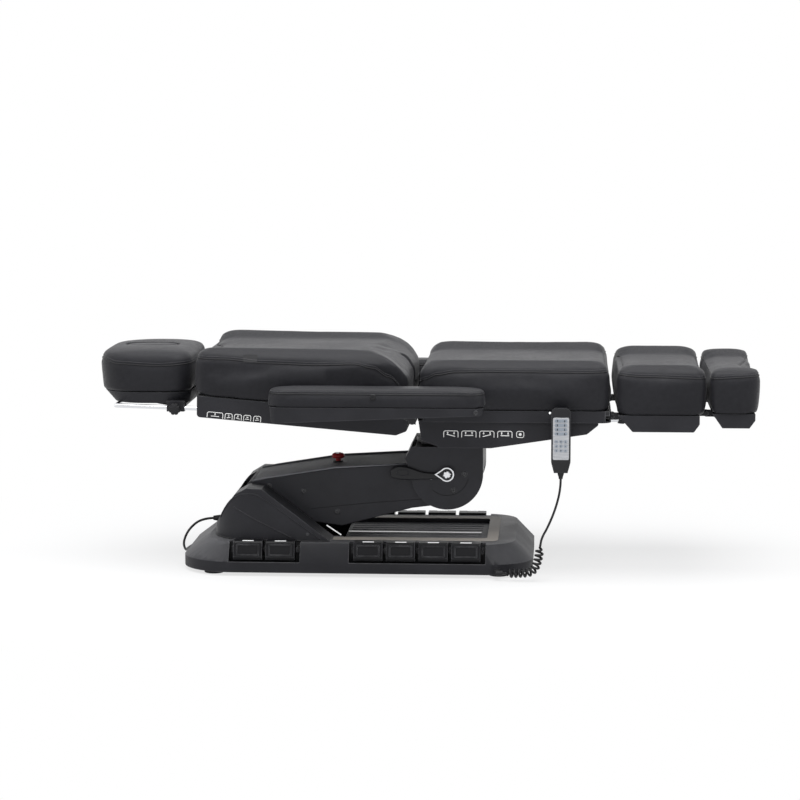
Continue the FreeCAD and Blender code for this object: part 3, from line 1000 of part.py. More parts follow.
doc.recompute()
os.makedirs("parts", exist_ok=True)
bad = [o.Name for o in doc.Objects if "Invalid" in o.State or "Error" in o.State]
assert not bad, bad
for node, thing in shipped.items():
    shape = thing.Shape
    assert not shape.isNull() and shape.isValid() and shape.Volume > 0, node
    print(node, len(shape.Solids), round(shape.Volume / 1000), [round(v) for v in (
        shape.BoundBox.XMin, shape.BoundBox.XMax, shape.BoundBox.YMin, shape.BoundBox.YMax,
        shape.BoundBox.ZMin, shape.BoundBox.ZMax)])
    shape.exportStep("parts/%s.step" % node)
print(len(shipped), "nodes")
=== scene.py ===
import bmesh
import bpy
import json
import math
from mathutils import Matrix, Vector
from mathutils.bvhtree import BVHTree
from mathutils.kdtree import KDTree

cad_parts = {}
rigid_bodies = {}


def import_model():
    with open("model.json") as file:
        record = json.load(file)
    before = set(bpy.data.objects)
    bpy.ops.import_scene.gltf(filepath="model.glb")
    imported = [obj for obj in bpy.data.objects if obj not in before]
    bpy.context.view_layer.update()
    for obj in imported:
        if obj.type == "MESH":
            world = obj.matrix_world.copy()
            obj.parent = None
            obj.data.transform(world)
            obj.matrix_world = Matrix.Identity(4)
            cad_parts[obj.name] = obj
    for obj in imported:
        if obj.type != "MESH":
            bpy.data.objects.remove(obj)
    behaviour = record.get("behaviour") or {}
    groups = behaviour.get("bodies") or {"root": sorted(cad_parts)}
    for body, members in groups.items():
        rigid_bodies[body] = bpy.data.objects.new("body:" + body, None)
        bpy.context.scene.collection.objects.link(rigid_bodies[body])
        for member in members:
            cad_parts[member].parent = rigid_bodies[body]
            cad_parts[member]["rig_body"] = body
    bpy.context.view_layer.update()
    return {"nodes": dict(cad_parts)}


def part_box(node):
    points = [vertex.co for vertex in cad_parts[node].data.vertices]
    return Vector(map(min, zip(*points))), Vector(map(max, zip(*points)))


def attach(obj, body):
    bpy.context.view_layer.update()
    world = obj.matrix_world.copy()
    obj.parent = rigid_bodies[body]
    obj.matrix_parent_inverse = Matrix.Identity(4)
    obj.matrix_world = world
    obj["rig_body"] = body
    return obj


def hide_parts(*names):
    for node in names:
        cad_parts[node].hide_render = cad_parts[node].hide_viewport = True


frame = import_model()
nodes = frame["nodes"]
scene = bpy.context.scene
scene.view_settings.view_transform = "Standard"
sides = ((1, -1), (3, 1))  # number used in names, way along y
lyingFlat = ((1, 0, 0), (0, 1, 0))
facingOut = ((1, 0, 0), (0, 0, 1))
print("frame loaded:", len(nodes), "nodes")


def mm(x, y, z):
    return Vector((x, y, z)) / 1000


def aimed(way):
    return Vector(way).to_track_quat("-Z", "Y").to_euler()


# camera, at the photograph's angle
cameraView = dict(
    at=(0.398, -7.8, 1.42), way=(-0.0616, 1.0, -0.122), focalPixels=2708, imageWidth=800,
    sensor=36, reach=60)
cameraData = bpy.data.cameras.new("viewCamera")
cameraData.sensor_fit = "HORIZONTAL"
cameraData.sensor_width = cameraView["sensor"]
cameraData.lens = cameraView["focalPixels"] / cameraView["imageWidth"] * cameraView["sensor"]
cameraData.clip_end = cameraView["reach"]
viewCamera = bpy.data.objects.new("viewCamera", cameraData)
viewCamera.location = cameraView["at"]
viewCamera.rotation_euler = aimed(cameraView["way"])
scene.collection.objects.link(viewCamera)
scene.camera = viewCamera
print("camera placed")


# shader node groups: each puts out only what changes over the surface
def feed(tree, node, sources):
    # each input takes a link or a plain value
    for label, source in sources.items():
        if isinstance(source, bpy.types.NodeSocket):
            tree.links.new(source, node.inputs[label])
        else:
            node.inputs[label].default_value = source


def addNode(tree, kind, sources={}, **values):
    node = tree.nodes.new(kind)
    for key, value in values.items():
        setattr(node, key, value)
    feed(tree, node, sources)
    return node


def newGroup(name, inputs, outputs):
    group = bpy.data.node_groups.new(name, "ShaderNodeTree")
    for label, value in inputs.items():
        socket = group.interface.new_socket(label, in_out="INPUT", socket_type="NodeSocketFloat")
        socket.default_value = value
    for label in outputs:
        group.interface.new_socket(label, in_out="OUTPUT", socket_type="NodeSocketFloat")
    return group, group.nodes.new("NodeGroupInput").outputs, group.nodes.new("NodeGroupOutput")


def mathNode(tree, operation, first, second):
    return addNode(tree, "ShaderNodeMath", {0: first, 1: second}, operation=operation).outputs[0]


def weighted(tree, first, share, second, otherShare):
    return mathNode(tree, "ADD", mathNode(tree, "MULTIPLY", first, share),
                    mathNode(tree, "MULTIPLY", second, otherShare))


def mapRange(tree, source, low, high, toLow=0.0, toHigh=1.0):
    ranges = {"Value": source, "From Min": low, "From Max": high, "To Min": toLow, "To Max": toHigh}
    return addNode(tree, "ShaderNodeMapRange", ranges, interpolation_type="SMOOTHSTEP").outputs["Result"]


def objectSpace(tree):
    return addNode(tree, "ShaderNodeTexCoord").outputs["Object"]


def noise(tree, scale, share, detail=3.0, rough=0.55):
    sources = {"Vector": objectSpace(tree), "Scale": mathNode(tree, "MULTIPLY", scale, share),
               "Detail": detail, "Roughness": rough}
    return addNode(tree, "ShaderNodeTexNoise", sources).outputs["Fac"]


def makeHideGrain():
    # pebbled upholstery: rounded cells, finer pores and slow stretching of the tone
    group, given, out = newGroup("hideGrain", {"Scale": 900.0, "Soft": 0.35}, ("Height", "Tone"))
    scale = given["Scale"]
    cells = addNode(group, "ShaderNodeTexVoronoi", {"Vector": objectSpace(group), "Scale": scale},
                    feature="DISTANCE_TO_EDGE")
    pebble = mapRange(group, cells.outputs["Distance"], 0.0, 0.32)
    pores = mathNode(group, "MULTIPLY", noise(group, scale, 2.2, 2.0), given["Soft"])
    tone = weighted(group, noise(group, scale, 0.008, 4.0), 0.65, noise(group, scale, 0.11, 2.0), 0.35)
    height = mathNode(group, "ADD", pebble, pores)
    feed(group, out, {"Height": height, "Tone": mapRange(group, tone, 0.34, 0.66)})
    return group


def makeMouldGrain():
    # spark-eroded mould texture with faint flow marks
    group, given, out = newGroup("mouldGrain", {"Scale": 1500.0, "Flow": 0.4}, ("Height", "Tone"))
    scale = given["Scale"]
    spark = noise(group, scale, 1.0, 2.0, 0.7)
    swell = mathNode(group, "MULTIPLY", noise(group, scale, 0.09), given["Flow"])
    tone = weighted(group, noise(group, scale, 0.006, 4.0), 0.7, spark, 0.3)
    height = mathNode(group, "ADD", spark, swell)
    feed(group, out, {"Height": height, "Tone": mapRange(group, tone, 0.36, 0.64)})
    return group


def makeRubbedEdges():
    # outer edges in another colour: partly where hands, shoes and cloths have rubbed them, partly a painted
    # edge highlight
    group, given, out = newGroup("wearAndEdgeHighlight", {"Reach": 0.004, "Patch": 30.0}, ("Mask",))
    plain = addNode(group, "ShaderNodeNewGeometry").outputs["Normal"]
    rounded = addNode(group, "ShaderNodeBevel", {"Radius": given["Reach"]}, samples=4).outputs["Normal"]
    agree = addNode(group, "ShaderNodeVectorMath", {0: plain, 1: rounded}, operation="DOT_PRODUCT")
    edge = mapRange(group, agree.outputs["Value"], 0.80, 0.985, 1.0, 0.0)
    patches = mapRange(group, noise(group, given["Patch"], 1.0, 5.0), 0.32, 0.62, 0.35, 1.0)
    feed(group, out, {"Mask": mathNode(group, "MULTIPLY", edge, patches)})
    return group


def makeDustAndTopLight():
    # a paler film on surfaces that face up: partly settled dust, partly painted light from above
    group, given, out = newGroup("dustAndPaintedTopLight", {"Patch": 18.0, "Steep": 0.4}, ("Mask",))
    normal = addNode(group, "ShaderNodeNewGeometry").outputs["Normal"]
    upward = addNode(group, "ShaderNodeSeparateXYZ", {0: normal}).outputs["Z"]
    facing = mapRange(group, mathNode(group, "SUBTRACT", upward, given["Steep"]), 0.0, 0.45)
    film = mapRange(group, noise(group, given["Patch"], 1.0, 5.0), 0.3, 0.75, 0.78, 1.0)
    feed(group, out, {"Mask": mathNode(group, "MULTIPLY", facing, film)})
    return group


def makeBrushLines():
    # long fine lines of brushed or drawn metal
    group, given, out = newGroup("brushLines", {"Scale": 260.0}, ("Height", "Tone"))
    stretch = addNode(group, "ShaderNodeMapping", {"Vector": objectSpace(group), "Scale": (0.05, 1.0, 1.0)})
    sources = {"Vector": stretch.outputs["Vector"], "Scale": given["Scale"]}
    lines = addNode(group, "ShaderNodeTexNoise", sources).outputs["Fac"]
    feed(group, out, {"Height": lines, "Tone": mapRange(group, lines, 0.35, 0.65)})
    return group


grainGroups = dict(hide=makeHideGrain(), mould=makeMouldGrain(), brush=makeBrushLines())
wearAndEdgeHighlight = makeRubbedEdges()
dustAndPaintedTopLight = makeDustAndTopLight()


def opaque(colour):
    # a grey is given by two numbers, its level and its blue
    return (colour[0], *colour[-2:], 1.0) if isinstance(colour, tuple) else colour


def mixColour(tree, factor, first, second):
    sources = {0: factor, 6: opaque(first), 7: opaque(second)}
    return addNode(tree, "ShaderNodeMix", sources, data_type="RGBA").outputs[2]


def makeFinish(name, grain, scale, colour, second, rough, roughSpread, bump, depth, metallic=0.0, sheen=0.0,
               specular=0.3, rub=None, dust=None):
    material = bpy.data.materials.new(name)
    material.use_nodes = True
    tree = material.node_tree
    texture = addNode(tree, "ShaderNodeGroup", node_tree=grainGroups[grain])
    feed(tree, texture, {"Scale": scale})
    tone, height = texture.outputs["Tone"], texture.outputs["Height"]
    shade = mixColour(tree, tone, colour, second)
    # edge colour: wear on rubbed edges together with a painted edge highlight
    if rub:
        wornOrLitEdge = addNode(tree, "ShaderNodeGroup", node_tree=wearAndEdgeHighlight)
        shade = mixColour(tree, wornOrLitEdge.outputs["Mask"], shade, rub)
    # faces that look up turn paler: settled dust together with painted light from above
    if dust:
        film = addNode(tree, "ShaderNodeGroup", node_tree=dustAndPaintedTopLight)
        shade = mixColour(tree, mathNode(tree, "MULTIPLY", film.outputs["Mask"], dust[-1]), shade, dust[:-1])
    raised = addNode(tree, "ShaderNodeBump", {"Strength": bump, "Distance": depth, "Height": height})
    feed(tree, tree.nodes["Principled BSDF"], {
        "Base Color": shade, "Metallic": metallic, "Specular IOR Level": specular,
        "Sheen Weight": sheen, "Sheen Roughness": 0.4, "Normal": raised.outputs["Normal"],
        "Roughness": mapRange(tree, tone, 0.0, 1.0, rough - roughSpread, rough + roughSpread)})
    return material


# name, grain and its scale, two shades, roughness and its spread, strength and depth of the grain;
# the edge colour is partly wear and partly a painted edge highlight; the upward colour and its strength are
# partly dust and partly painted top light
finishes = dict(
    upholstery=makeFinish(
        "charcoalUpholstery", "hide", 720, (0.0115, 0.014), (0.0165, 0.0195),
        0.44, 0.05, 0.3, 0.0005, sheen=0.06, specular=0.17, dust=(0.12, 0.125, 0.03)),
    welt=makeFinish(
        "weltPiping", "hide", 1100, (0.007, 0.008), (0.011, 0.013), 0.5, 0.05, 0.3, 0.0004),
    thread=makeFinish(
        "sewingThread", "brush", 900, (0.07, 0.075), (0.11, 0.115), 0.6, 0.05, 0.4, 0.0003),
    shell=makeFinish(
        "shellPlastic", "mould", 1500, (0.015, 0.0178), (0.021, 0.0245),
        0.5, 0.06, 0.3, 0.0004, specular=0.2, rub=(0.06, 0.065), dust=(0.14, 0.145, 0.05)),
    baseCover=makeFinish(
        "basePlastic", "mould", 1100, (0.011, 0.0135), (0.017, 0.02),
        0.5, 0.06, 0.4, 0.0006, specular=0.2, rub=(0.11, 0.115), dust=(0.27, 0.28, 0.36)),
    hood=makeFinish(
        "hoodPlastic", "mould", 1300, (0.016, 0.019), (0.022, 0.0255),
        0.44, 0.06, 0.3, 0.0005, specular=0.18, rub=(0.12, 0.125), dust=(0.16, 0.165, 0.09)),
    armSide=makeFinish(
        "armSidePlastic", "mould", 1600, (0.022, 0.0255), (0.031, 0.036),
        0.44, 0.05, 0.25, 0.0004, specular=0.22, rub=(0.07, 0.075)),
    armTop=makeFinish(
        "armTopPlastic", "mould", 620, (0.15, 0.16), (0.25, 0.262), 0.6, 0.06, 0.9, 0.0011,
        dust=(0.2, 0.2, 0.08)),
    trim=makeFinish(
        "taupeTrim", "mould", 700, (0.36, 0.33, 0.29), (0.46, 0.42, 0.375), 0.55, 0.06, 0.5, 0.0006,
        rub=(0.34, 0.32, 0.29)),
    tray=makeFinish(
        "trayLiner", "mould", 800, (0.13, 0.137), (0.18, 0.19), 0.6, 0.06, 0.6, 0.0007,
        dust=(0.2, 0.2, 0.1)),
    pedal=makeFinish(
        "pedalPlastic", "mould", 1200, (0.005, 0.006), (0.008, 0.0095),
        0.34, 0.06, 0.35, 0.0004, specular=0.16, rub=(0.1, 0.105)),
    pedalPad=makeFinish(
        "pedalPad", "mould", 900, (0.006, 0.007), (0.01, 0.0115), 0.6, 0.06, 0.7, 0.0006,
        specular=0.16),
    whiteMark=makeFinish(
        "whiteMarking", "mould", 1500, (0.8, 0.81, 0.82), (0.9, 0.9), 0.4, 0.05, 0.15, 0.0002),
    iconLine=makeFinish(
        "printedIcons", "mould", 1500, (0.62, 0.6), (0.76, 0.74), 0.45, 0.05, 0.1, 0.0002),
    steel=makeFinish(
        "blackedSteel", "mould", 900, (0.018, 0.02), (0.028, 0.031), 0.42, 0.08, 0.35, 0.0004,
        metallic=0.3, rub=(0.16, 0.165), dust=(0.14, 0.14, 0.06)),
    chrome=makeFinish(
        "chromedSteel", "brush", 500, (0.66, 0.67, 0.69), (0.76, 0.77, 0.79), 0.14, 0.05, 0.05, 0.0002,
        metallic=1.0),
    silver=makeFinish(
        "brushedPlate", "brush", 420, (0.40, 0.41, 0.43), (0.50, 0.51, 0.53), 0.36, 0.06, 0.12, 0.0002,
        metallic=0.7),
    key=makeFinish(
        "handsetKeys", "mould", 1400, (0.24, 0.27, 0.31), (0.32, 0.35, 0.39), 0.5, 0.05, 0.25, 0.0003),
    handset=makeFinish(
        "handsetCase", "mould", 1600, (0.008, 0.0095), (0.013, 0.015),
        0.34, 0.06, 0.25, 0.0003, rub=(0.06, 0.065)),
    rubber=makeFinish(
        "blackRubber", "mould", 800, (0.007, 0.008), (0.012, 0.014), 0.6, 0.08, 0.5, 0.0005,
        dust=(0.12, 0.12, 0.07)),
    cord=makeFinish(
        "cordSheath", "mould", 1100, (0.006, 0.007), (0.01, 0.011), 0.42, 0.06, 0.3, 0.0003),
    red=makeFinish(
        "redPlastic", "mould", 1300, (0.34, 0.012, 0.016), (0.42, 0.02, 0.022), 0.38, 0.06, 0.2, 0.0003,
        rub=(0.5, 0.1, 0.09)),
)
# painted glow: white markings and printed icons emit light so they stay bright in shadow
for name, paintedGlow in (("whiteMark", 0.45), ("iconLine", 0.12)):  # pale print that stays bright in shadow
    tree = finishes[name].node_tree
    feed(tree, tree.nodes["Principled BSDF"], {"Emission Color": (1, 1, 1, 1), "Emission Strength": paintedGlow})

print("finishes made:", len(finishes))


# small mesh tools
def addObject(name, data, finish, body):
    piece = bpy.data.objects.new(name, data)
    scene.collection.objects.link(piece)
    piece.data.materials.clear()
    piece.data.materials.append(finishes[finish])
    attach(piece, body)
    return piece


def easeEdges(piece, width, sharpest=32):
    bevel = piece.modifiers.new("edgeRound", "BEVEL")
    bevel.width = width
    bevel.segments = 2
    bevel.limit_method = "ANGLE"
    bevel.angle_limit = math.radians(sharpest)
    bevel.harden_normals = True


def addMesh(name, verts, faces, finish, body, ease=0.0, smoothAngle=35):
    mesh = bpy.data.meshes.new(name)
    mesh.from_pydata([tuple(v) for v in verts], [], faces)
    shape = bmesh.new()
    shape.from_mesh(mesh)
    bmesh.ops.recalc_face_normals(shape, faces=shape.faces)
    shape.to_mesh(mesh)
    shape.free()
    mesh.shade_smooth()
    mesh.set_sharp_from_angle(angle=math.radians(smoothAngle))
    piece = addObject(name, mesh, finish, body)
    if ease:
        easeEdges(piece, ease)
    return piece


otherNames = {"hood": "rearHood", "handset": "handsetCase", "handset_connector": "cordConnector"}


def pieceName(node):
    first, *others = node.split("_")
    return otherNames.get(node, first + "".join(word.capitalize() for word in others))


def dressNode(node, finish, ease=0.0):
    # a CAD node's form with its edges eased as a moulding or pressing has them
    mesh = nodes[node].data.copy()
    mesh.name = pieceName(node)
    shape = bmesh.new()
    shape.from_mesh(mesh)
    bmesh.ops.remove_doubles(shape, verts=shape.verts, dist=0.00002)
    bmesh.ops.dissolve_limit(shape, angle_limit=math.radians(1.0), verts=shape.verts, edges=shape.edges)
    shape.to_mesh(mesh)
    shape.free()
    mesh.shade_smooth()
    mesh.set_sharp_from_angle(angle=math.radians(32))
    piece = addObject(pieceName(node), mesh, finish, nodes[node]["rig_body"])
    if ease:
        easeEdges(piece, ease)
    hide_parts(node)
    return piece


def arc(cx, cy, radius, first, last, steps):
    turns = [math.radians(first + (last - first) * i / steps) for i in range(steps + 1)]
    return [(cx + radius * math.cos(turn), cy + radius * math.sin(turn)) for turn in turns]


def circle(radius, steps):
    return arc(0, 0, radius, 0, 360, steps)[:-1]


def roundedBox(wide, high, radius, steps=5):
    # outline of a rounded rectangle about the origin, anticlockwise
    x, y = wide / 2 - radius, high / 2 - radius
    upper = arc(x, y, radius, 0, 90, steps) + arc(-x, y, radius, 90, 180, steps)
    return upper + arc(-x, -y, radius, 180, 270, steps) + arc(x, -y, radius, 270, 360, steps)


def turned(points, degrees):
    c, s = math.cos(math.radians(degrees)), math.sin(math.radians(degrees))
    return [(u * c - v * s, u * s + v * c) for u, v in points]


def atSide(points, y):
    return [mm(x, y, z) for x, z in points]


def mirrored(points, side):
    return [mm(x, side * y, z) for x, y, z in points]


def tubeFaces(rows, steps, start=0, ring=False):
    # faces between rows of points; a ring joins its last row to the first, a tube has two ends
    faces = []
    for row in range(rows if ring else rows - 1):
        low, high = start + row * steps, start + (row + 1) % rows * steps
        for i in range(steps):
            j = (i + 1) % steps
            faces.append([low + i, low + j, high + j, high + i])
    if not ring:
        for end in (start, start + (rows - 1) * steps):
            faces.append([end + i for i in range(steps)])
    return faces


def plate(name, outline, origin, right, up, thick, finish, body, ease=0.0, hole=None, slot=None):
    # a flat outline in millimetres, raised by thick along right x up, with an optional hole of as many points
    right, up = Vector(right).normalized(), Vector(up).normalized()
    out = right.cross(up)
    levels = [(outline, 0), (outline, thick)]
    if hole:
        levels += [(hole, thick), (hole, 0)]
    verts = []
    for line, lift in levels:
        base = Vector(origin) + out * (lift / 1000)
        verts += [base + right * (u / 1000) + up * (v / 1000) for u, v in line]
    faces = tubeFaces(len(levels), len(outline), ring=bool(hole))
    return addMesh(name, verts, faces, finish, body, ease)


def lathe(name, profile, origin, axis, finish, body, steps=40, flutes=0, fluteDepth=0.0):
    # a profile of (along, radius) in millimetres turned about an axis; its slim parts have no flutes
    axis = Vector(axis).normalized()
    side = axis.orthogonal().normalized()
    other = axis.cross(side)
    verts = []
    for along, radius in profile:
        for i in range(steps):
            turn = 2 * math.pi * i / steps
            r = radius - (fluteDepth * max(0, math.cos(flutes * turn)) if flutes and radius > 6 else 0)
            away = (side * math.cos(turn) + other * math.sin(turn)) * (r / 1000)
            verts.append(Vector(origin) + axis * (along / 1000) + away)
    return addMesh(name, verts, tubeFaces(len(profile), steps), finish, body)


def routeCurve(name, points, smooth=True, steps=24, closed=False):
    curve = bpy.data.curves.new(name, "CURVE")
    curve.dimensions = "3D"
    spline = curve.splines.new("NURBS" if smooth else "POLY")
    spline.points.add(len(points) - 1)
    for spot, point in zip(spline.points, points):
        spot.co = (*point, 1.0)
    spline.use_cyclic_u = closed
    if smooth:
        spline.order_u = 3
        spline.use_endpoint_u = not closed
        spline.resolution_u = steps
    return curve


def wire(name, points, radius, finish, body, closed=False, smooth=False, fineness=3, steps=6, slot=None):
    curve = routeCurve(name, points, smooth, steps, closed)
    curve.bevel_depth = radius / 1000
    curve.bevel_resolution = fineness
    curve.use_fill_caps = True
    return addObject(name, curve, finish, body)


def evenly(line, count):
    # points at even steps along a line
    lengths = [0.0]
    for a, b in zip(line, line[1:]):
        lengths.append(lengths[-1] + (b - a).length)
    found, k = [], 0
    for i in range(count + 1):
        want = lengths[-1] * i / count
        while k < len(line) - 2 and lengths[k + 1] < want:
            k += 1
        span = max(lengths[k + 1] - lengths[k], 1e-9)
        found.append(line[k].lerp(line[k + 1], (want - lengths[k]) / span))
    return found


def alongRoute(points, count):
    # evenly read points of a route's own NURBS line
    holder = bpy.data.objects.new("routeLine", routeCurve("routeLine", points))
    line = [v.co.copy() for v in bpy.data.meshes.new_from_object(holder).vertices]
    bpy.data.objects.remove(holder)
    return evenly(line, count)


def surfaceOf(piece):
    # a tree of the piece's shown surface, for setting small pieces on it
    return BVHTree.FromObject(piece, bpy.context.evaluated_depsgraph_get())


def settle(tree, point, lift=0.0):
    spot, normal, _, _ = tree.find_nearest(point)
    return spot + normal * (lift / 1000)


def screwHead(name, at, side, radius, body):
    # a domed cap with a sunk hexagon
    profile = [(-1.0, radius), (0.6, radius), (1.5, radius * 0.86), (1.9, radius * 0.62), (1.9, radius * 0.5),
               (0.7, radius * 0.46), (0.7, radius * 0.1)]
    return lathe(name, profile, at, (0, side, 0), "steel", body, steps=24)


# cords come first: their routes repeat those of the model
cordLook = dict(smooth=True, fineness=4, steps=8)
mains = dict(radius=3.5, gland=(-607, 0, 116), coil=(-570, 352), coilIn=27, turns=3, perQuarter=3, length=2.0)
gx, gy, gz = mains["gland"]
pitch = 2 * mains["radius"] + 1
coilOut = mains["coilIn"] + mains["turns"] * pitch
coilX, coilY = mains["coil"]
floorZ = mains["radius"] + 0.2
mainsPoints = [mm(gx - 12, gy, gz), mm(gx - 56, gy, gz), mm(gx - 98, gy + 6, gz - 34),
               mm(gx - 118, gy + 22, gz - 78), mm(-722, 58, floorZ + 4), mm(-726, 118, floorZ),
               mm(-716, 190, floorZ), mm(-698, 262, floorZ), mm(coilX - coilOut - 4, coilY - 56, floorZ)]
quarters = 4 * mains["turns"]
for i in range(mains["perQuarter"] * (2 * quarters + 1) + 1):  # in on the floor, then out again on top
    t = i / mains["perQuarter"]
    inward = t if t <= quarters else 2 * quarters - t
    radius = coilOut - pitch * inward / 4
    turn = math.pi - t * math.pi / 2
    climb = min(max((t - quarters + 1) / 2, 0), 1)
    x, y = coilX + radius * math.cos(turn), coilY + radius * math.sin(turn)
    mainsPoints.append(mm(x, y, floorZ + climb * pitch))
mainsPoints.append(mainsPoints[-1] + mm(24, 1, 0))
mainsPoints.append(mainsPoints[-1] + mm(20, 4, 0))
mainsCord = wire("mainsCord", mainsPoints, mains["radius"], "cord", "base", **cordLook)
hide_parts("mains_cord", "mains_coil")
mainsPlug = dressNode("mains_plug", "rubber", 0.0008)

curly = dict(
    radius=3.2, curl=10, count=12, perCurl=12, length=0.94,
    straight=((386, -332.5, 290.4), (386, -332.5, 262), (372, -332.5, 205), (350, -333, 152),
              (334, -332, 124)),
    axis=((330, -332, 98), (326, -334, 60), (310, -334, 26), (270, -332, 22), (232, -330, 22)))
perCurl = curly["perCurl"]
curlSteps = perCurl * curly["count"]
curlAxis = alongRoute([mm(*p) for p in curly["axis"]], curlSteps)
curlyPoints = [mm(*p) for p in curly["straight"]]
for i, spot in enumerate(curlAxis):
    ahead = (curlAxis[min(i + 1, curlSteps)] - curlAxis[max(i - 1, 0)]).normalized()
    side = Vector((0, 1, 0)).cross(ahead).normalized()
    up = ahead.cross(side)
    swell = curly["curl"] / 1000 * min(1, i / perCurl, (curlSteps - i) / perCurl)
    turn = i * 2 * math.pi / perCurl
    curlyPoints.append(spot + side * (swell * math.cos(turn)) + up * (swell * math.sin(turn)))
curlyPoints.append(curlyPoints[-1] + mm(-7, 0.3, 0))
handsetCord = wire("handsetCord", curlyPoints, curly["radius"], "cord", "base", **cordLook)
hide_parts("handset_cord")
connector = dressNode("handset_connector", "rubber", 0.001)
print("cords laid")

# carried-over forms: finish, edge round in millimetres, nodes
castings = (
    ("baseCover", 2.5, "base_cover"),
    ("steel", 0.8, "base_chassis arm_beam parallel_links lift_motor knuckle_frame turntable tilt_motor"),
    ("steel", 0.8, "seat_frame leg_motor leg_frame back_frame back_motor"),
    ("hood", 3.0, "hood"),
    ("rubber", 2.0, "levelling_feet"),
    ("rubber", 0.8, "mains_gland"),
    ("armSide", 3.0, "arm_side_covers knuckle_cover"),
    ("armTop", 1.5, "arm_top_cover"),
    ("chrome", 0.4, "lift_rod tilt_rod leg_rod back_rod"),
    ("chrome", 0.0, "headrest_rail"),
    ("shell", 2.5, "seat_shell leg_shell foot_shell back_shell armrest_right_shell armrest_left_shell"),
    ("shell", 2.0, "head_shell"),
    ("handset", 2.5, "handset"),
)
dressed = {}
for finish, ease, group in castings:
    for node in group.split():
        dressed[node] = dressNode(node, finish, ease / 1000)
print("castings dressed:", len(dressed))

# base deck: raised trim round the tray, liner, ribs and white stripes that carry a painted glow
deck = dict(
    top=92, trayFloor=79, trayRear=-234, trayFront=177, trayHalf=172, trayRound=14, linerGap=4,
    trimRear=-262, trimFront=32, trimWide=42, trimRound=26, trimThick=1.6,
    ribs=4, ribStep=34, ribRear=-226, ribShort=18, hoodLight=((-285, 143, 122), (-243, 143, 94)))


def trimOutline(front, half, radius):
    corner = arc(front - radius, half - radius, radius, 90, 0, 6)
    rear = deck["trimRear"]
    return [(rear, half)] + corner + [(x, -y) for x, y in reversed(corner)] + [(rear, -half)]


outerFront, outerHalf = deck["trayFront"] + deck["trimFront"], deck["trayHalf"] + deck["trimWide"]
outer = trimOutline(outerFront, outerHalf, deck["trimRound"])
inner = trimOutline(deck["trayFront"], deck["trayHalf"], deck["trayRound"])
trimLow, trimHigh = deck["top"], deck["top"] + deck["trimThick"]
verts = []
for (x, y), (u, v) in zip(outer, inner):
    verts += [mm(x, y, trimLow), mm(x, y, trimHigh), mm(u, v, trimHigh), mm(u, v, trimLow)]
addMesh("deckTrim", verts, tubeFaces(len(outer), 4), "trim", "base", 0.0005)
trayLong, trayWide = deck["trayFront"] - deck["trayRear"], 2 * deck["trayHalf"]
liner = roundedBox(trayLong - deck["linerGap"], trayWide - deck["linerGap"], 10)
linerAt = mm((deck["trayFront"] + deck["trayRear"]) / 2, 0, deck["trayFloor"])
plate("trayLiner", liner, linerAt, *lyingFlat, 1.0, "tray", "base", 0.0004)
linerTop = deck["trayFloor"] + 1
for i in range(-deck["ribs"], deck["ribs"] + 1):
    if i:  # the white stripe takes the middle
        y = i * deck["ribStep"]
        rib = [mm(deck["ribRear"], y, linerTop), mm(deck["trayFront"] - deck["ribShort"], y, linerTop)]
        wire("trayRib%d" % (i + 5), rib, 1.4, "tray", "base")
# white stripes with the painted glow of the white markings
plate("deckWhiteStripe", roundedBox(388, 5, 2), mm(-38, 0, linerTop), *lyingFlat, 1.4, "whiteMark", "base", 0.0004)
for number, side in sides:
    wire("hoodLight%d" % number, mirrored(deck["hoodLight"], side), 1.8, "whiteMark", "base")

# hood details: crease, bead and screw on each flank, and the gasket where it meets the deck
hood = dict(
    rear=-606, front=-268, half=245, corner=130, screw=(-330, 250, 112),
    crease=((-556, 250, 186), (-520, 250, 172), (-480, 252, 153), (-430, 252, 128), (-380, 252, 103)),
    bead=((-596, 190, 150), (-572, 225, 196), (-530, 240, 224), (-482, 248, 229), (-440, 250, 204),
          (-360, 250, 145), (-292, 250, 97)))
hoodSkin = surfaceOf(dressed["hood"])
for number, side in sides:
    for part, amount, sink, radius in (("crease", 40, 0.9, 2.4), ("bead", 60, 0.6, 2.6)):
        line = [settle(hoodSkin, p, -sink) for p in alongRoute(mirrored(hood[part], side), amount)]
        wire("hood%s%d" % (part.capitalize(), number), line, radius, "hood", "base")
    screwAt = settle(hoodSkin, mirrored([hood["screw"]], side)[0])
    screwHead("hoodScrew%d" % number, screwAt, side, 5, "base")
cornerX, cornerY = hood["rear"] + hood["corner"], hood["half"] - hood["corner"]
gasket = [(hood["front"], -hood["half"])] + arc(cornerX, -cornerY, hood["corner"], 270, 180, 10)
gasket += arc(cornerX, cornerY, hood["corner"], 180, 90, 10) + [(hood["front"], hood["half"])]
wire("hoodGasket", [mm(x, y, deck["top"] + 1.5) for x, y in gasket], 2.6, "rubber", "base")
print("base detailed")

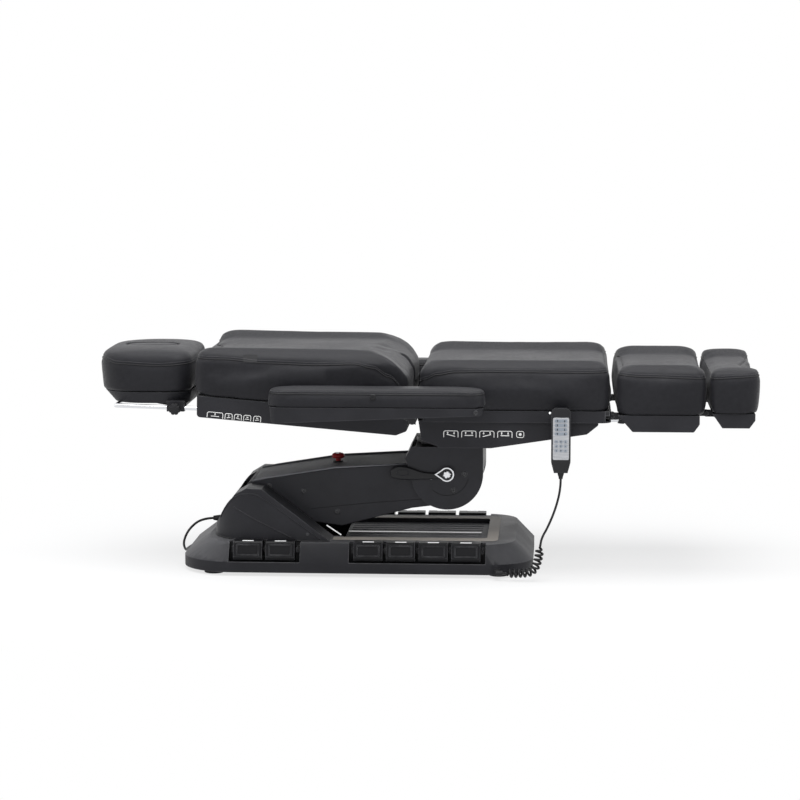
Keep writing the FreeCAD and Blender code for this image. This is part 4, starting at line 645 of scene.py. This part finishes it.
# pedals: moulded key, raised frame, inset pad and a white stripe on the upper edge
pedals = dict(
    rows=((-496, 2), (-155, 4)), pitch=92, middle=(295, 75), lean=(8, 38), edge=(280, 98),
    frame=(66, 33, 4), opening=(57, 25, 3), pad=(53, 21, 2), stripe=(32, 8, 1.5))
pedalPlaces = [start + pedals["pitch"] * i for start, amount in pedals["rows"] for i in range(amount)]
for tag, side in (("right", -1), ("left", 1)):
    for i, x in enumerate(pedalPlaces):
        node = "pedal_%s_%d" % (tag, i + 1)
        dressNode(node, "pedal", 0.0016)
        name, body = pieceName(node), nodes[node]["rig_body"]
        leaning = ((-side, 0, 0), (0, -side * pedals["lean"][0], pedals["lean"][1]))
        middle = mm(x, side * pedals["middle"][0], pedals["middle"][1])
        edge = mm(x, side * pedals["edge"][0], pedals["edge"][1])
        plate(name + "Frame", roundedBox(*pedals["frame"]), middle, *leaning, 1.6, "pedal", body, 0.0004,
              roundedBox(*pedals["opening"]))
        plate(name + "Pad", roundedBox(*pedals["pad"]), middle, *leaning, 1.0, "pedalPad", body, 0.0003)
        plate(name + "Stripe", roundedBox(*pedals["stripe"]), edge, *lyingFlat, 0.9, "whiteMark", body,
              0.0003, slot="pedal_plastic")
print("pedals made")

# arm: screws, parting groove and the top cover's bead on each side
arm = dict(
    half=135, screws=((-452, 232), (-351, 219), (-60, 262), (-255, 160)), beadHalf=131,
    parting=((-330, 168), (-231, 180), (-100, 192), (-10, 199)),
    bead=((-500, 247), (-452, 257.5), (-262, 288), (-82, 298.5), (-54, 300)))
for number, side in sides:
    face = side * arm["half"]
    for i, at in enumerate(atSide(arm["screws"], face)):
        screwHead("armScrew%d%d" % (number, i), at, side, 8.5, "arm")
    wire("armParting%d" % number, atSide(arm["parting"], face), 0.9, "rubber", "arm", smooth=True,
         slot="base_plastic")
    wire("armBead%d" % number, atSide(arm["bead"], side * arm["beadHalf"]), 3.0, "armTop", "arm")

# a thin cap closes the arm's rear, leaning with the arm
armRear = dict(
    pivot=(-436, 224), lean=5.8, half=128.6, thick=3,
    line=((-58, 28.6), (-68, 27.4), (-78, 21), (-84, 10), (-85, 0)))
pivotX, pivotZ = armRear["pivot"]
half = armRear["half"]
rearLine = [(pivotX + u, pivotZ + v) for u, v in turned(armRear["line"], armRear["lean"])]
verts = []
for i, (x, z) in enumerate(rearLine):
    (xa, za), (xb, zb) = rearLine[max(i - 1, 0)], rearLine[min(i + 1, len(rearLine) - 1)]
    shift = armRear["thick"] / math.hypot(xb - xa, zb - za)
    xi, zi = x - (zb - za) * shift, z + (xb - xa) * shift
    verts += [mm(x, -half, z), mm(x, half, z), mm(xi, half, zi), mm(xi, -half, zi)]
addMesh("armRearCap", verts, tubeFaces(len(rearLine), 4), "rubber", "arm", smoothAngle=50)

# stop switch: red mushroom with white arrows over a dark collar
stopSwitch = dict(
    at=(-263, 0, 296), arrowOut=9.2, arrowUp=16.2, arrowLean=0.28,
    cap=((-30, 7.5), (-1, 7.5), (0, 11), (1.5, 15), (3.5, 18), (6, 19), (10, 18.6), (13.5, 16.5), (16, 12),
         (17, 6), (17, 1)),
    collar=((-14, 15), (-8, 15), (-6.5, 14), (-6.5, 9)),
    arrow=((-4, -1.2), (1.5, -1.2), (1.5, -3), (5, 0), (1.5, 3), (1.5, 1.2), (-4, 1.2)))
stopAt = mm(*stopSwitch["at"])
stopCap = lathe("stopCap", stopSwitch["cap"], stopAt, (0, 0, 1), "red", "stop", 48)
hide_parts("stop_button")
lathe("stopCollar", stopSwitch["collar"], stopAt, (0, 0, 1), "rubber", "arm")
for i in range(3):
    c, s = math.cos(math.radians(120 * i + 20)), math.sin(math.radians(120 * i + 20))
    arrowAt = stopAt + mm(stopSwitch["arrowOut"] * c, stopSwitch["arrowOut"] * s, stopSwitch["arrowUp"])
    plate("stopArrow%d" % i, stopSwitch["arrow"], arrowAt, (-s, c, 0), (-c, -s, stopSwitch["arrowLean"]), 0.6,
          "whiteMark", "stop", slot="red_plastic")

# knuckle: screws and a groove on each side
knuckle = dict(x=61.4, z=274.5, face=150, groove=62, screws=((111, 275), (80, 227)))
kx, kz = knuckle["x"], knuckle["z"]
for number, side in sides:
    face = side * knuckle["face"]
    for i, at in enumerate(atSide(knuckle["screws"], face)):
        screwHead("knuckleScrew%d%d" % (number, i), at, side, 9, "knuckle")
    ringLine = atSide(arc(kx, kz, knuckle["groove"], -132, -12, 20), face)
    wire("knuckleGroove%d" % number, ringLine, 0.9, "rubber", "knuckle", slot="base_plastic")

# swivel lock lever: along, up and half width of its grip, with a bright dial and a thumb rest
lever = dict(
    y=-knuckle["face"], gap=0.6, sides=12, squareness=0.6, broadUpTo=-90, broad=11, slim=9,
    line=((-163, 0, 10), (-150, 4, 19), (-128, 4, 21.5), (-100, 0, 18), (-78, -4, 12), (-50, -6, 9),
          (-20, -4, 9), (0, 0, 13)),
    dialRadius=21, dialTip=-36, dialOut=5, boss=((4, 12), (8, 12), (10.5, 9.5), (11.2, 5), (11.2, 1)),
    thumb=(-126, 4), thumbOut=10.6, dot=((-1, 2.6), (0.4, 2.6), (0.7, 1.9), (0.7, 0.4)))


def squared(value):
    return math.copysign(abs(value) ** lever["squareness"], value)


verts = []
for u, v, wide in lever["line"]:
    thick = lever["broad"] if u < lever["broadUpTo"] else lever["slim"]
    for c, s in circle(1, lever["sides"]):
        y = lever["y"] - lever["gap"] - thick / 2 - thick / 2 * squared(s)
        verts.append(mm(kx + u, y, kz + v + wide * squared(c)))
leverFaces = tubeFaces(len(lever["line"]), lever["sides"])
leverGrip = addMesh("leverGrip", verts, leverFaces, "handset", "lever")
leverGrip.modifiers.new("soften", "SUBSURF").render_levels = 2
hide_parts("swivel_lever")
tearDrop = arc(0, 0, lever["dialRadius"], -140, 140, 28) + [(lever["dialTip"], 0)]
dropHole = [(u * 0.78, v * 0.78) for u, v in tearDrop]
dialAt = mm(kx, lever["y"] - lever["dialOut"], kz)
plate("leverDialRim", tearDrop, dialAt, *facingOut, 8, "chrome", "lever", 0.001, dropHole)
plate("leverDialFace", dropHole, dialAt, *facingOut, 5, "handset", "lever", 0.001, slot="shell_plastic")
lathe("leverDialBoss", lever["boss"], dialAt, (0, -1, 0), "chrome", "lever", 32, 6, 2.2)
oval = [(19 * c, 10 * s) for c, s in circle(1, 30)]
ovalHole = [(u * 0.82, v * 0.78) for u, v in oval]
thumbAt = mm(kx + lever["thumb"][0], lever["y"] - lever["thumbOut"], kz + lever["thumb"][1])
plate("leverThumbRim", oval, thumbAt, *facingOut, 2.2, "shell", "lever", 0.0005, ovalHole)
for i in (0, 1):
    dotAt = mm(kx - 58 + 13 * i, lever["y"], kz - 13)
    lathe("leverDot%d" % i, lever["dot"], dotAt, (0, -1, 0), "whiteMark", "knuckle", 18)
print("arm and knuckle detailed")

# keypads: printed outlines with plain arrows and lines
iconPrint = dict(line=1.8, corner=6, lift=0.0004, thick=0.0006)


def arch(wide, high, radius, shift=0.0):
    # a frame's outline from one foot to the other, with round shoulders
    x, y = wide / 2 - radius, high / 2 - radius + shift
    shoulders = arc(x, y, radius, 0, 90, 5) + arc(-x, y, radius, 90, 180, 5)
    return [(wide / 2, -high / 2 + shift)] + shoulders + [(-wide / 2, -high / 2 + shift)]


def iconFrame(name, wide, high, at, right, up, body, marks, closed=False):
    shape = bmesh.new()
    right, up = Vector(right).normalized(), Vector(up).normalized()
    lifted = at + right.cross(up) * iconPrint["lift"]

    def corners(outline):
        return [shape.verts.new(lifted + right * (u / 1000) + up * (v / 1000)) for u, v in outline]

    line, corner = iconPrint["line"], iconPrint["corner"]
    if closed:
        outside = corners(roundedBox(wide, high, corner))
        inside = corners(roundedBox(wide - 2 * line, high - 2 * line, corner - line))
    else:
        outside = corners(arch(wide, high, corner))
        inside = corners(arch(wide - 2 * line, high - line, corner - line, -line / 2))
    for i in range(len(outside) if closed else len(outside) - 1):
        j = (i + 1) % len(outside)
        shape.faces.new([outside[i], outside[j], inside[j], inside[i]])
    for mark in marks:
        shape.faces.new(corners(mark))
    mesh = bpy.data.meshes.new(name)
    bmesh.ops.recalc_face_normals(shape, faces=shape.faces)
    shape.to_mesh(mesh)
    shape.free()
    piece = addObject(name, mesh, "iconLine", body)
    printed = piece.modifiers.new("print", "SOLIDIFY")
    printed.thickness = iconPrint["thick"]
    printed.offset = 0


def arrowMark(at, size, turn):
    base = [(-0.5, -0.16), (0.1, -0.16), (0.1, -0.42), (0.55, 0.0), (0.1, 0.42), (0.1, 0.16), (-0.5, 0.16)]
    return [(at[0] + size * u, at[1] + size * v) for u, v in turned(base, turn)]


def barMark(at, wide, high, turn=0):
    corners = [(-wide / 2, -high / 2), (wide / 2, -high / 2), (wide / 2, high / 2), (-wide / 2, high / 2)]
    return [(at[0] + u, at[1] + v) for u, v in turned(corners, turn)]


seatKeys = dict(
    x=78, step=50.4, z=409, face=287.4, wide=42, high=19, endX=272, endWide=22,
    turns=((-14, 90, 270), (0, 90, 90), (14, 270, 90), (0, 90, 270)))  # bar and two arrows
for number, side in sides:
    face, high = side * seatKeys["face"], seatKeys["high"]
    facing = ((-side, 0, 0), (0, 0, 1))
    for i, (bar, first, second) in enumerate(seatKeys["turns"]):
        arrows = [arrowMark((-9, 2.5), 7, first), arrowMark((9, 2.5), 7, second)]
        marks = [barMark((0, -4), 24, 2.2, bar)] + arrows
        at = mm(seatKeys["x"] + seatKeys["step"] * i, face, seatKeys["z"])
        iconFrame("seatIcon%d%d" % (number, i), seatKeys["wide"], high, at, *facing, "seat", marks)
    at = mm(seatKeys["endX"], face, seatKeys["z"])
    iconFrame("seatIcon%d4" % number, seatKeys["endWide"], high, at, *facing, "seat", [circle(4, 16)], True)
backKeys = dict(
    slope=0.085, rear=(-637, 513), drop=50.5, face=296.4, high=17,
    places=((-585, 46, 0, 90), (-546.5, 22, 12, 90), (-520.5, 22, -12, 270), (-494, 22, 0, 0),
            (-466, 22, 12, 180)))  # place, width, turns of bar and arrow
slope = backKeys["slope"]
for number, side in sides:
    facing = ((-side, 0, side * slope), (slope, 0, 1))
    for i, (x, wide, bar, arrow) in enumerate(backKeys["places"]):
        z = backKeys["rear"][1] - slope * (x - backKeys["rear"][0]) - backKeys["drop"]
        marks = [barMark((0, -3.5), 0.5 * wide, 1.9, bar), arrowMark((0, 2), 6, arrow)]
        at = mm(x, side * backKeys["face"], z)
        iconFrame("backIcon%d%d" % (number, i), wide, backKeys["high"], at, *facing, "back", marks)
print("keypads printed")

# handset: silver plate, keys in rows, and a relief where the cord leaves
handset = dict(
    x=386, y=-332.5, face=-344, low=309, plateLow=346, plateTop=464, plateWide=45,
    wideKeys=455, wideStep=12, smallKeys=397, smallStep=12.5, keyThick=1.4, lampAt=(355, -321.5, 474),
    relief=((0, 9.5), (6, 8.6), (12, 6.6), (17, 5.6), (18.4, 5.2), (18.4, 3.4)),
    lamp=((-1, 3.2), (0.6, 3.2), (1.4, 2.4), (1.7, 0.6)))
hx, keyFace, keyThick = handset["x"], handset["face"] - 1, handset["keyThick"]


def handsetKey(name, number, wide, at, marks):
    plate(name + number, roundedBox(wide, 9, 4), at, *facingOut, keyThick, "key", "handset", 0.0005)
    for ending, shift, mark in marks:
        markAt = at + mm(shift, -keyThick, 0)
        plate(name + "Mark" + number + ending, mark, markAt, *facingOut, 0.3, "handset", "handset")


silverPlate = roundedBox(handset["plateWide"], handset["plateTop"] - handset["plateLow"], 4)
plateAt = mm(hx, handset["face"], (handset["plateLow"] + handset["plateTop"]) / 2)
plate("handsetPlate", silverPlate, plateAt, *facingOut, 1.0, "silver", "handset", 0.0004)
for row in range(4):
    at = mm(hx, keyFace, handset["wideKeys"] - handset["wideStep"] * row)
    upAndDown = [("0", -10, arrowMark((0, 0), 6, 90)), ("1", 10, arrowMark((0, 0), 6, 270))]
    handsetKey("wideKey", str(row), 35, at, upAndDown)
for row in range(3):
    for column in range(3):
        step = handset["smallStep"]
        at = mm(hx + step * (column - 1), keyFace, handset["smallKeys"] - step * row)
        mark = arrowMark((0, 0), 5, 90) if column == 1 else barMark((0, 0), 4.5, 1.2, 45 * (row + column))
        handsetKey("smallKey", "%d%d" % (row, column), 10.5, at, [("", 0, mark)])
reliefAt = mm(hx, handset["y"], handset["low"] + 1)
lathe("handsetRelief", handset["relief"], reliefAt, (0, 0, -1), "rubber", "handset", 28)
lathe("handsetLamp", handset["lamp"], mm(*handset["lampAt"]), (0, -1, 0), "whiteMark", "seat", 20)
print("handset made")

# headrest clamp knob and pan heel, armrest hardware
headKnobGrip = dict(
    flange=0.009,
    profile=((-9, 4), (-2, 4), (-1.5, 12), (2, 15.5), (5, 17), (13, 17), (16, 15.5), (17.5, 12), (18, 6),
             (18, 1)))
knobLow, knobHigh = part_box("head_knob")
knobAt = (knobLow + knobHigh) / 2
knobAt.y = knobHigh.y - headKnobGrip["flange"]
headKnob = lathe("headKnob", headKnobGrip["profile"], knobAt, (0, -1, 0), "rubber", "knob", 56, 8, 2.2)
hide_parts("head_knob")
armrest = dict(
    boltAt=(152, 426, 486), capAt=(-131, 430, 528),
    bolt=((-3, 7), (1, 7), (2.4, 6), (2.8, 4), (2.8, 3), (1.2, 2.8), (1.2, 0.5)),
    cap=((-4, 8), (1.2, 8), (2.2, 7.2), (2.4, 5), (2.4, 3.4), (1.0, 3.2), (1.0, 0.5)))
for tag, side, body in (("Right", -1, "armrest_right"), ("Left", 1, "armrest_left")):
    boltAt, capAt = mirrored((armrest["boltAt"], armrest["capAt"]), side)
    lathe("armrestBolt" + tag, armrest["bolt"], boltAt, (0, side, 0), "steel", body, 28)
    lathe("armrestCap" + tag, armrest["cap"], capAt, (0, side, 0), "rubber", body, 36)
heel = dict(half=174, line=((-772, 477), (-764, 474), (-694, 463), (-686, 466), (-682, 477)))
verts = atSide(heel["line"], -heel["half"]) + atSide(heel["line"], heel["half"])
addMesh("headPanHeel", verts, tubeFaces(2, len(heel["line"])), "shell", "head", 0.0015)
print("hardware made")

# upholstery: each pad is blown up by a cloth run, then pressed, seamed and sewn
bedPad = dict(voxel=7.0, start=2.5, cap=7, smooth=5, corner=42, fill=0.7)
armrestPad = dict(voxel=6.0, start=1.5, cap=4, smooth=2, corner=45, fill=0.85, seam=((-426, 535), (178, 535)))
pads = dict(
    seatPad=dict(
        bedPad, node="seat_cushion", box=(-18, 527, -310, 310),
        seam=((-18, 556), (5, 564), (40, 577), (90, 584), (180, 586), (430, 585), (527, 587))),
    backPad=dict(
        bedPad, node="back_cushion", box=(-650, -36, -310, 310),
        seam=((-650, 619), (-560, 616), (-440, 606), (-300, 602), (-190, 605), (-140, 594), (-95, 570),
              (-36, 520))),
    legPad=dict(
        node="leg_cushion", voxel=6.5, start=2.0, cap=7, smooth=5, corner=36, fill=0.75,
        box=(535, 793, -310, 310), seam=((535, 580), (620, 575), (793, 571))),
    footPad=dict(
        node="foot_cushion", voxel=6.0, start=2.0, cap=6, smooth=5, corner=32, fill=0.75,
        box=(797, 941, -310, 310), seam=((797, 571), (941, 578))),
    headPad=dict(
        node="head_cushion", voxel=6.0, start=2.0, cap=6, smooth=4, corner=92, fill=0.75,
        box=(-941, -666, -200, 200), seam=((-941, 600), (-880, 590), (-760, 585), (-666, 591))),
    armrestPadRight=dict(armrestPad, node="armrest_right_pad", box=(-426, 178, -430, -330)),
    armrestPadLeft=dict(armrestPad, node="armrest_left_pad", box=(-426, 178, 330, 430)),
    facePlug=dict(node="face_plug", voxel=4.5, start=1.0, cap=3, smooth=2, fill=0.8, seam=()),
)
clothRun = dict(frames=20, heldStart=0.6)
sewing = dict(
    step=6, rayFrom=0.06, rayLong=0.14, reach=16, depth=2.6, welt=1.8, weltLift=0.2,
    rowUp=7, rowIn=2, rowLift=0.25, pitch=7.0, long=5.0, thread=0.6, strands=6,
    rings=((-0.5, 0.4), (-0.3, 1.0), (0.3, 1.0), (0.5, 0.4)))  # along a stitch, share of its thickness
backPadFit = dict(flankFrom=-0.27, flankHalf=0.3068, pocketFrom=-0.09, pocketHalf=0.05)


def seamHeight(seam, x):
    for (x0, z0), (x1, z1) in zip(seam, seam[1:]):
        if x <= x1:
            share = min(max((x - x0) / (x1 - x0), 0), 1)
            return z0 + (z1 - z0) * (share * share * (3 - 2 * share))
    return seam[-1][1]


def remeshed(name, node, voxel):
    source = bpy.data.objects.new(name + "Start", nodes[node].data.copy())
    scene.collection.objects.link(source)
    remesh = source.modifiers.new("even", "REMESH")
    remesh.mode = "VOXEL"
    remesh.voxel_size = voxel / 1000
    graph = bpy.context.evaluated_depsgraph_get()
    mesh = bpy.data.meshes.new_from_object(source.evaluated_get(graph))
    bpy.data.objects.remove(source)
    return mesh


def heldSpots(mesh, node, low):
    # the underside, the hinge pockets and the face opening keep their shape
    held = []
    for v in mesh.vertices:
        x, y, z = v.co.x, abs(v.co.y), v.co.z
        under = v.normal.z < -0.3 or z < low + 0.012
        pocket = node == "back_cushion" and z < 0.6 and (y < 0.045 or (abs(x + 0.15) < 0.035 and y > 0.25))
        throat = node == "head_cushion" and abs(x + 0.805) < 0.095 and y < 0.055
        held.append(under or pocket or throat)
    return held


def clothPiece(name, spec):
    # the pad's cover, a little small before it is blown up
    mesh = remeshed(name, spec["node"], spec["voxel"])
    held = heldSpots(mesh, spec["node"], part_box(spec["node"])[0].z)
    for v, normal, stay in zip(mesh.vertices, [v.normal.copy() for v in mesh.vertices], held):
        v.co -= normal * ((clothRun["heldStart"] if stay else spec["start"]) / 1000)
    piece = bpy.data.objects.new(name + "Cover", mesh)
    scene.collection.objects.link(piece)
    pins = piece.vertex_groups.new(name="held")
    pins.add([i for i, stay in enumerate(held) if stay], 1.0, "REPLACE")
    cloth = piece.modifiers.new("swell", "CLOTH")
    feel = cloth.settings
    feel.quality = 3
    feel.mass = 0.3
    feel.tension_stiffness = 25
    feel.compression_stiffness = 25
    feel.bending_stiffness = 6
    feel.use_pressure = True
    feel.uniform_pressure_force = 4
    feel.vertex_group_mass = "held"
    feel.effector_weights.gravity = 0
    cloth.collision_settings.use_collision = False
    cloth.point_cache.frame_start = 1
    cloth.point_cache.frame_end = clothRun["frames"]
    return piece


def swollenMesh(cover, cap):
    graph = bpy.context.evaluated_depsgraph_get()
    swollen = bpy.data.meshes.new_from_object(cover.evaluated_get(graph))
    for v, first in zip(swollen.vertices, cover.data.vertices):
        move = v.co - first.co
        if move.length > cap / 1000:
            v.co = first.co + move * (cap / 1000 / move.length)
    return swollen


def smoothed(mesh, rounds):
    shape = bmesh.new()
    shape.from_mesh(mesh)
    for _ in range(rounds):
        bmesh.ops.smooth_vert(shape, verts=shape.verts, factor=0.5, use_axis_x=True, use_axis_y=True,
                              use_axis_z=True)
    shape.to_mesh(mesh)
    shape.free()


def seamPath(spec, skin):
    # the top panel's edge: an outline in plan, met from outside at the seam's height
    x0, x1, y0, y1 = spec["box"]
    outline = roundedBox(x1 - x0, y1 - y0, spec["corner"], 8)
    path = []
    for (u0, v0), (u1, v1) in zip(outline, outline[1:] + outline[:1]):
        gap = math.hypot(u1 - u0, v1 - v0)
        outward = Vector((v1 - v0, u0 - u1, 0)) / max(gap, 1e-6)
        steps = max(1, int(gap / sewing["step"]))
        for k in range(steps):
            x = u0 + (u1 - u0) * k / steps + (x0 + x1) / 2
            y = v0 + (v1 - v0) * k / steps + (y0 + y1) / 2
            at = mm(x, y, seamHeight(spec["seam"], x))
            hit = skin.ray_cast(at + outward * sewing["rayFrom"], -outward, sewing["rayLong"])[0]
            path.append(hit if hit is not None else settle(skin, at))
    return path


def pressSeam(mesh, path):
    # the seam pulls the cover in along its line
    tree = KDTree(len(path))
    for i, p in enumerate(path):
        tree.insert(p, i)
    tree.balance()
    for v, normal in [(v, v.normal.copy()) for v in mesh.vertices]:
        away = tree.find(v.co)[2] * 1000
        if away < sewing["reach"]:
            v.co -= normal * (sewing["depth"] / 1000 * (1 - away / sewing["reach"]) ** 1.5)


def stitchRow(name, path, body, closed):
    # separate thread stitches along a path
    long = sum((b - a).length for a, b in zip(path, path[1:])) * 1000
    line = evenly(path + path[:1] if closed else path, int(long / sewing["pitch"]))
    strands = circle(1, sewing["strands"])
    verts, faces = [], []
    for a, b in zip(line, line[1:]):
        way = (b - a).normalized()
        side = way.orthogonal().normalized()
        other = way.cross(side)
        faces += tubeFaces(len(sewing["rings"]), len(strands), len(verts))
        for along, share in sewing["rings"]:
            middle = (a + b) / 2 + way * (along * sewing["long"] / 1000)
            verts += [middle + (side * c + other * s) * (sewing["thread"] * share / 1000) for c, s in strands]
    addMesh(name, verts, faces, "thread", body)


covers = {name: clothPiece(name, spec) for name, spec in pads.items()}
for number in range(1, clothRun["frames"] + 1):
    scene.frame_set(number)
swollen = {name: swollenMesh(covers[name], spec["cap"]) for name, spec in pads.items()}
scene.frame_set(1)
print("pads blown up")
for name, spec in pads.items():
    low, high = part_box(spec["node"])
    mesh = swollen[name]
    bpy.data.objects.remove(covers[name])
    smoothed(mesh, spec["smooth"])
    mesh.shade_smooth()
    body = nodes[spec["node"]]["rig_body"]
    piece = addObject(name, mesh, "upholstery", body)
    if name == "backPad":
        for v in mesh.vertices:  # flush flanks beside the hinge plates
            if v.co.x > backPadFit["flankFrom"]:
                v.co.y = min(max(v.co.y, -backPadFit["flankHalf"]), backPadFit["flankHalf"])
    if spec["seam"]:
        path = seamPath(spec, surfaceOf(piece))
        pressSeam(mesh, path)
    fine = piece.modifiers.new("fine", "SUBSURF")
    fine.levels = 1
    fine.render_levels = 1
    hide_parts(spec["node"])
    if spec["seam"]:
        skin = surfaceOf(piece)
        pocket = []
        if name == "backPad":  # its seam stops at the pocket for the seat's middle bracket
            pocket = [i for i, p in enumerate(path)
                      if p.x > backPadFit["pocketFrom"] and abs(p.y) < backPadFit["pocketHalf"]]
            path = path[pocket[-1] + 1:] + path[:pocket[0]]
        closed = not pocket
        weltLine = [settle(skin, p, sewing["weltLift"]) for p in path]
        wire(name + "Welt", weltLine, sewing["welt"], "welt", body, closed)
        row = []
        for p in path:
            inward = (Vector(((low.x + high.x) / 2, (low.y + high.y) / 2, p.z)) - p).normalized()
            row.append(settle(skin, p + mm(0, 0, sewing["rowUp"]) + inward * (sewing["rowIn"] / 1000),
                              sewing["rowLift"]))
        stitchRow(name + "Stitches", row, body, closed)
    print("upholstered", name, len(mesh.vertices))

# bare woven tag sewn to the back pad
sewnTag = dict(low=(-485, -312, 614), high=(-485, -303, 637), lift=0.4, wide=40, deep=24)
tagSkin = surfaceOf(bpy.data.objects["backPad"])
tagLow, tagHigh = [settle(tagSkin, mm(*sewnTag[end]), sewnTag["lift"]) for end in ("low", "high")]
plate("sewnTag", roundedBox(sewnTag["wide"], sewnTag["deep"], 1.5), (tagLow + tagHigh) / 2, (1, 0, 0),
      tagHigh - tagLow, 1.0, "welt", "back", 0.0003)


# floor, light and background
def seenRays(tree):
    # one for what the eye meets, straight or by way of gloss or glass
    rays = addNode(tree, "ShaderNodeLightPath")
    seen = mathNode(tree, "MAXIMUM", rays.outputs["Is Camera Ray"], rays.outputs["Is Transmission Ray"])
    return mathNode(tree, "MAXIMUM", seen, rays.outputs["Is Glossy Ray"])


def showBlend(tree, factor, first, second, target):
    blend = addNode(tree, "ShaderNodeMixShader", {0: factor, 1: first.outputs[0], 2: second.outputs[0]})
    feed(tree, target, {"Surface": blend.outputs[0]})


floor = dict(
    half=14, back=26, z=-0.0005, grey=0.86, rough=0.8, stretch=(0.75, 1.0, 1.0), near=0.5, far=1.5,
    nearGlow=0.72)
floorMesh = bpy.data.meshes.new("studioFloor")
half, back = floor["half"], floor["back"]
floorCorners = [(-half, -half, 0), (half, -half, 0), (half, back, 0), (-half, back, 0)]
floorMesh.from_pydata(floorCorners, [], [(0, 1, 2, 3)])
studioFloor = bpy.data.objects.new("studioFloor", floorMesh)
studioFloor.location.z = floor["z"]
scene.collection.objects.link(studioFloor)
floorLook = bpy.data.materials.new("paleFloor")
floorLook.use_nodes = True
tree = floorLook.node_tree
ground = tree.nodes["Principled BSDF"]
feed(tree, ground, {"Base Color": opaque((floor["grey"], floor["grey"])), "Roughness": floor["rough"]})
glow = addNode(tree, "ShaderNodeEmission", {"Strength": 1.0})
place = addNode(tree, "ShaderNodeNewGeometry").outputs["Position"]
stretch = addNode(tree, "ShaderNodeVectorMath", {0: place, 1: floor["stretch"]}, operation="MULTIPLY")
spread = addNode(tree, "ShaderNodeVectorMath", {0: stretch.outputs[0]}, operation="LENGTH").outputs["Value"]
plain = mapRange(tree, spread, floor["near"], floor["far"], floor["nearGlow"], 1.0)
seen = mathNode(tree, "MULTIPLY", seenRays(tree), plain)
showBlend(tree, seen, ground, glow, tree.nodes["Material Output"])
floorMesh.materials.append(floorLook)

world = bpy.data.worlds.new("studioWorld")
scene.world = world
world.use_nodes = True
tree = world.node_tree
tree.nodes.clear()
dim = addNode(tree, "ShaderNodeBackground", {"Color": (0.9, 0.93, 1.0, 1), "Strength": 0.32})
white = addNode(tree, "ShaderNodeBackground", {"Color": (1, 1, 1, 1)})
showBlend(tree, seenRays(tree), dim, white, addNode(tree, "ShaderNodeOutputWorld"))


def softLamp(name, at, aim, wide, deep, watts):
    data = bpy.data.lights.new(name, "AREA")
    data.shape = "RECTANGLE"
    data.size, data.size_y = wide, deep
    data.energy = watts
    lamp = bpy.data.objects.new(name, data)
    lamp.location = at
    lamp.rotation_euler = aimed(Vector(aim) - Vector(at))
    scene.collection.objects.link(lamp)


softLamp("overheadLamp", (0.0, -0.5, 3.6), (0, 0, 0.4), 4.6, 2.6, 150)
softLamp("frontLamp", (0.4, -3.6, 4.0), (0, 0, 0.1), 4.0, 1.6, 85)
softLamp("leftLamp", (-4.4, -2.0, 2.4), (-0.4, 0, 0.2), 1.8, 2.2, 32)
softLamp("rightLamp", (4.6, -1.6, 2.4), (0.4, 0, 0.2), 1.8, 2.2, 32)
print("stage lit")
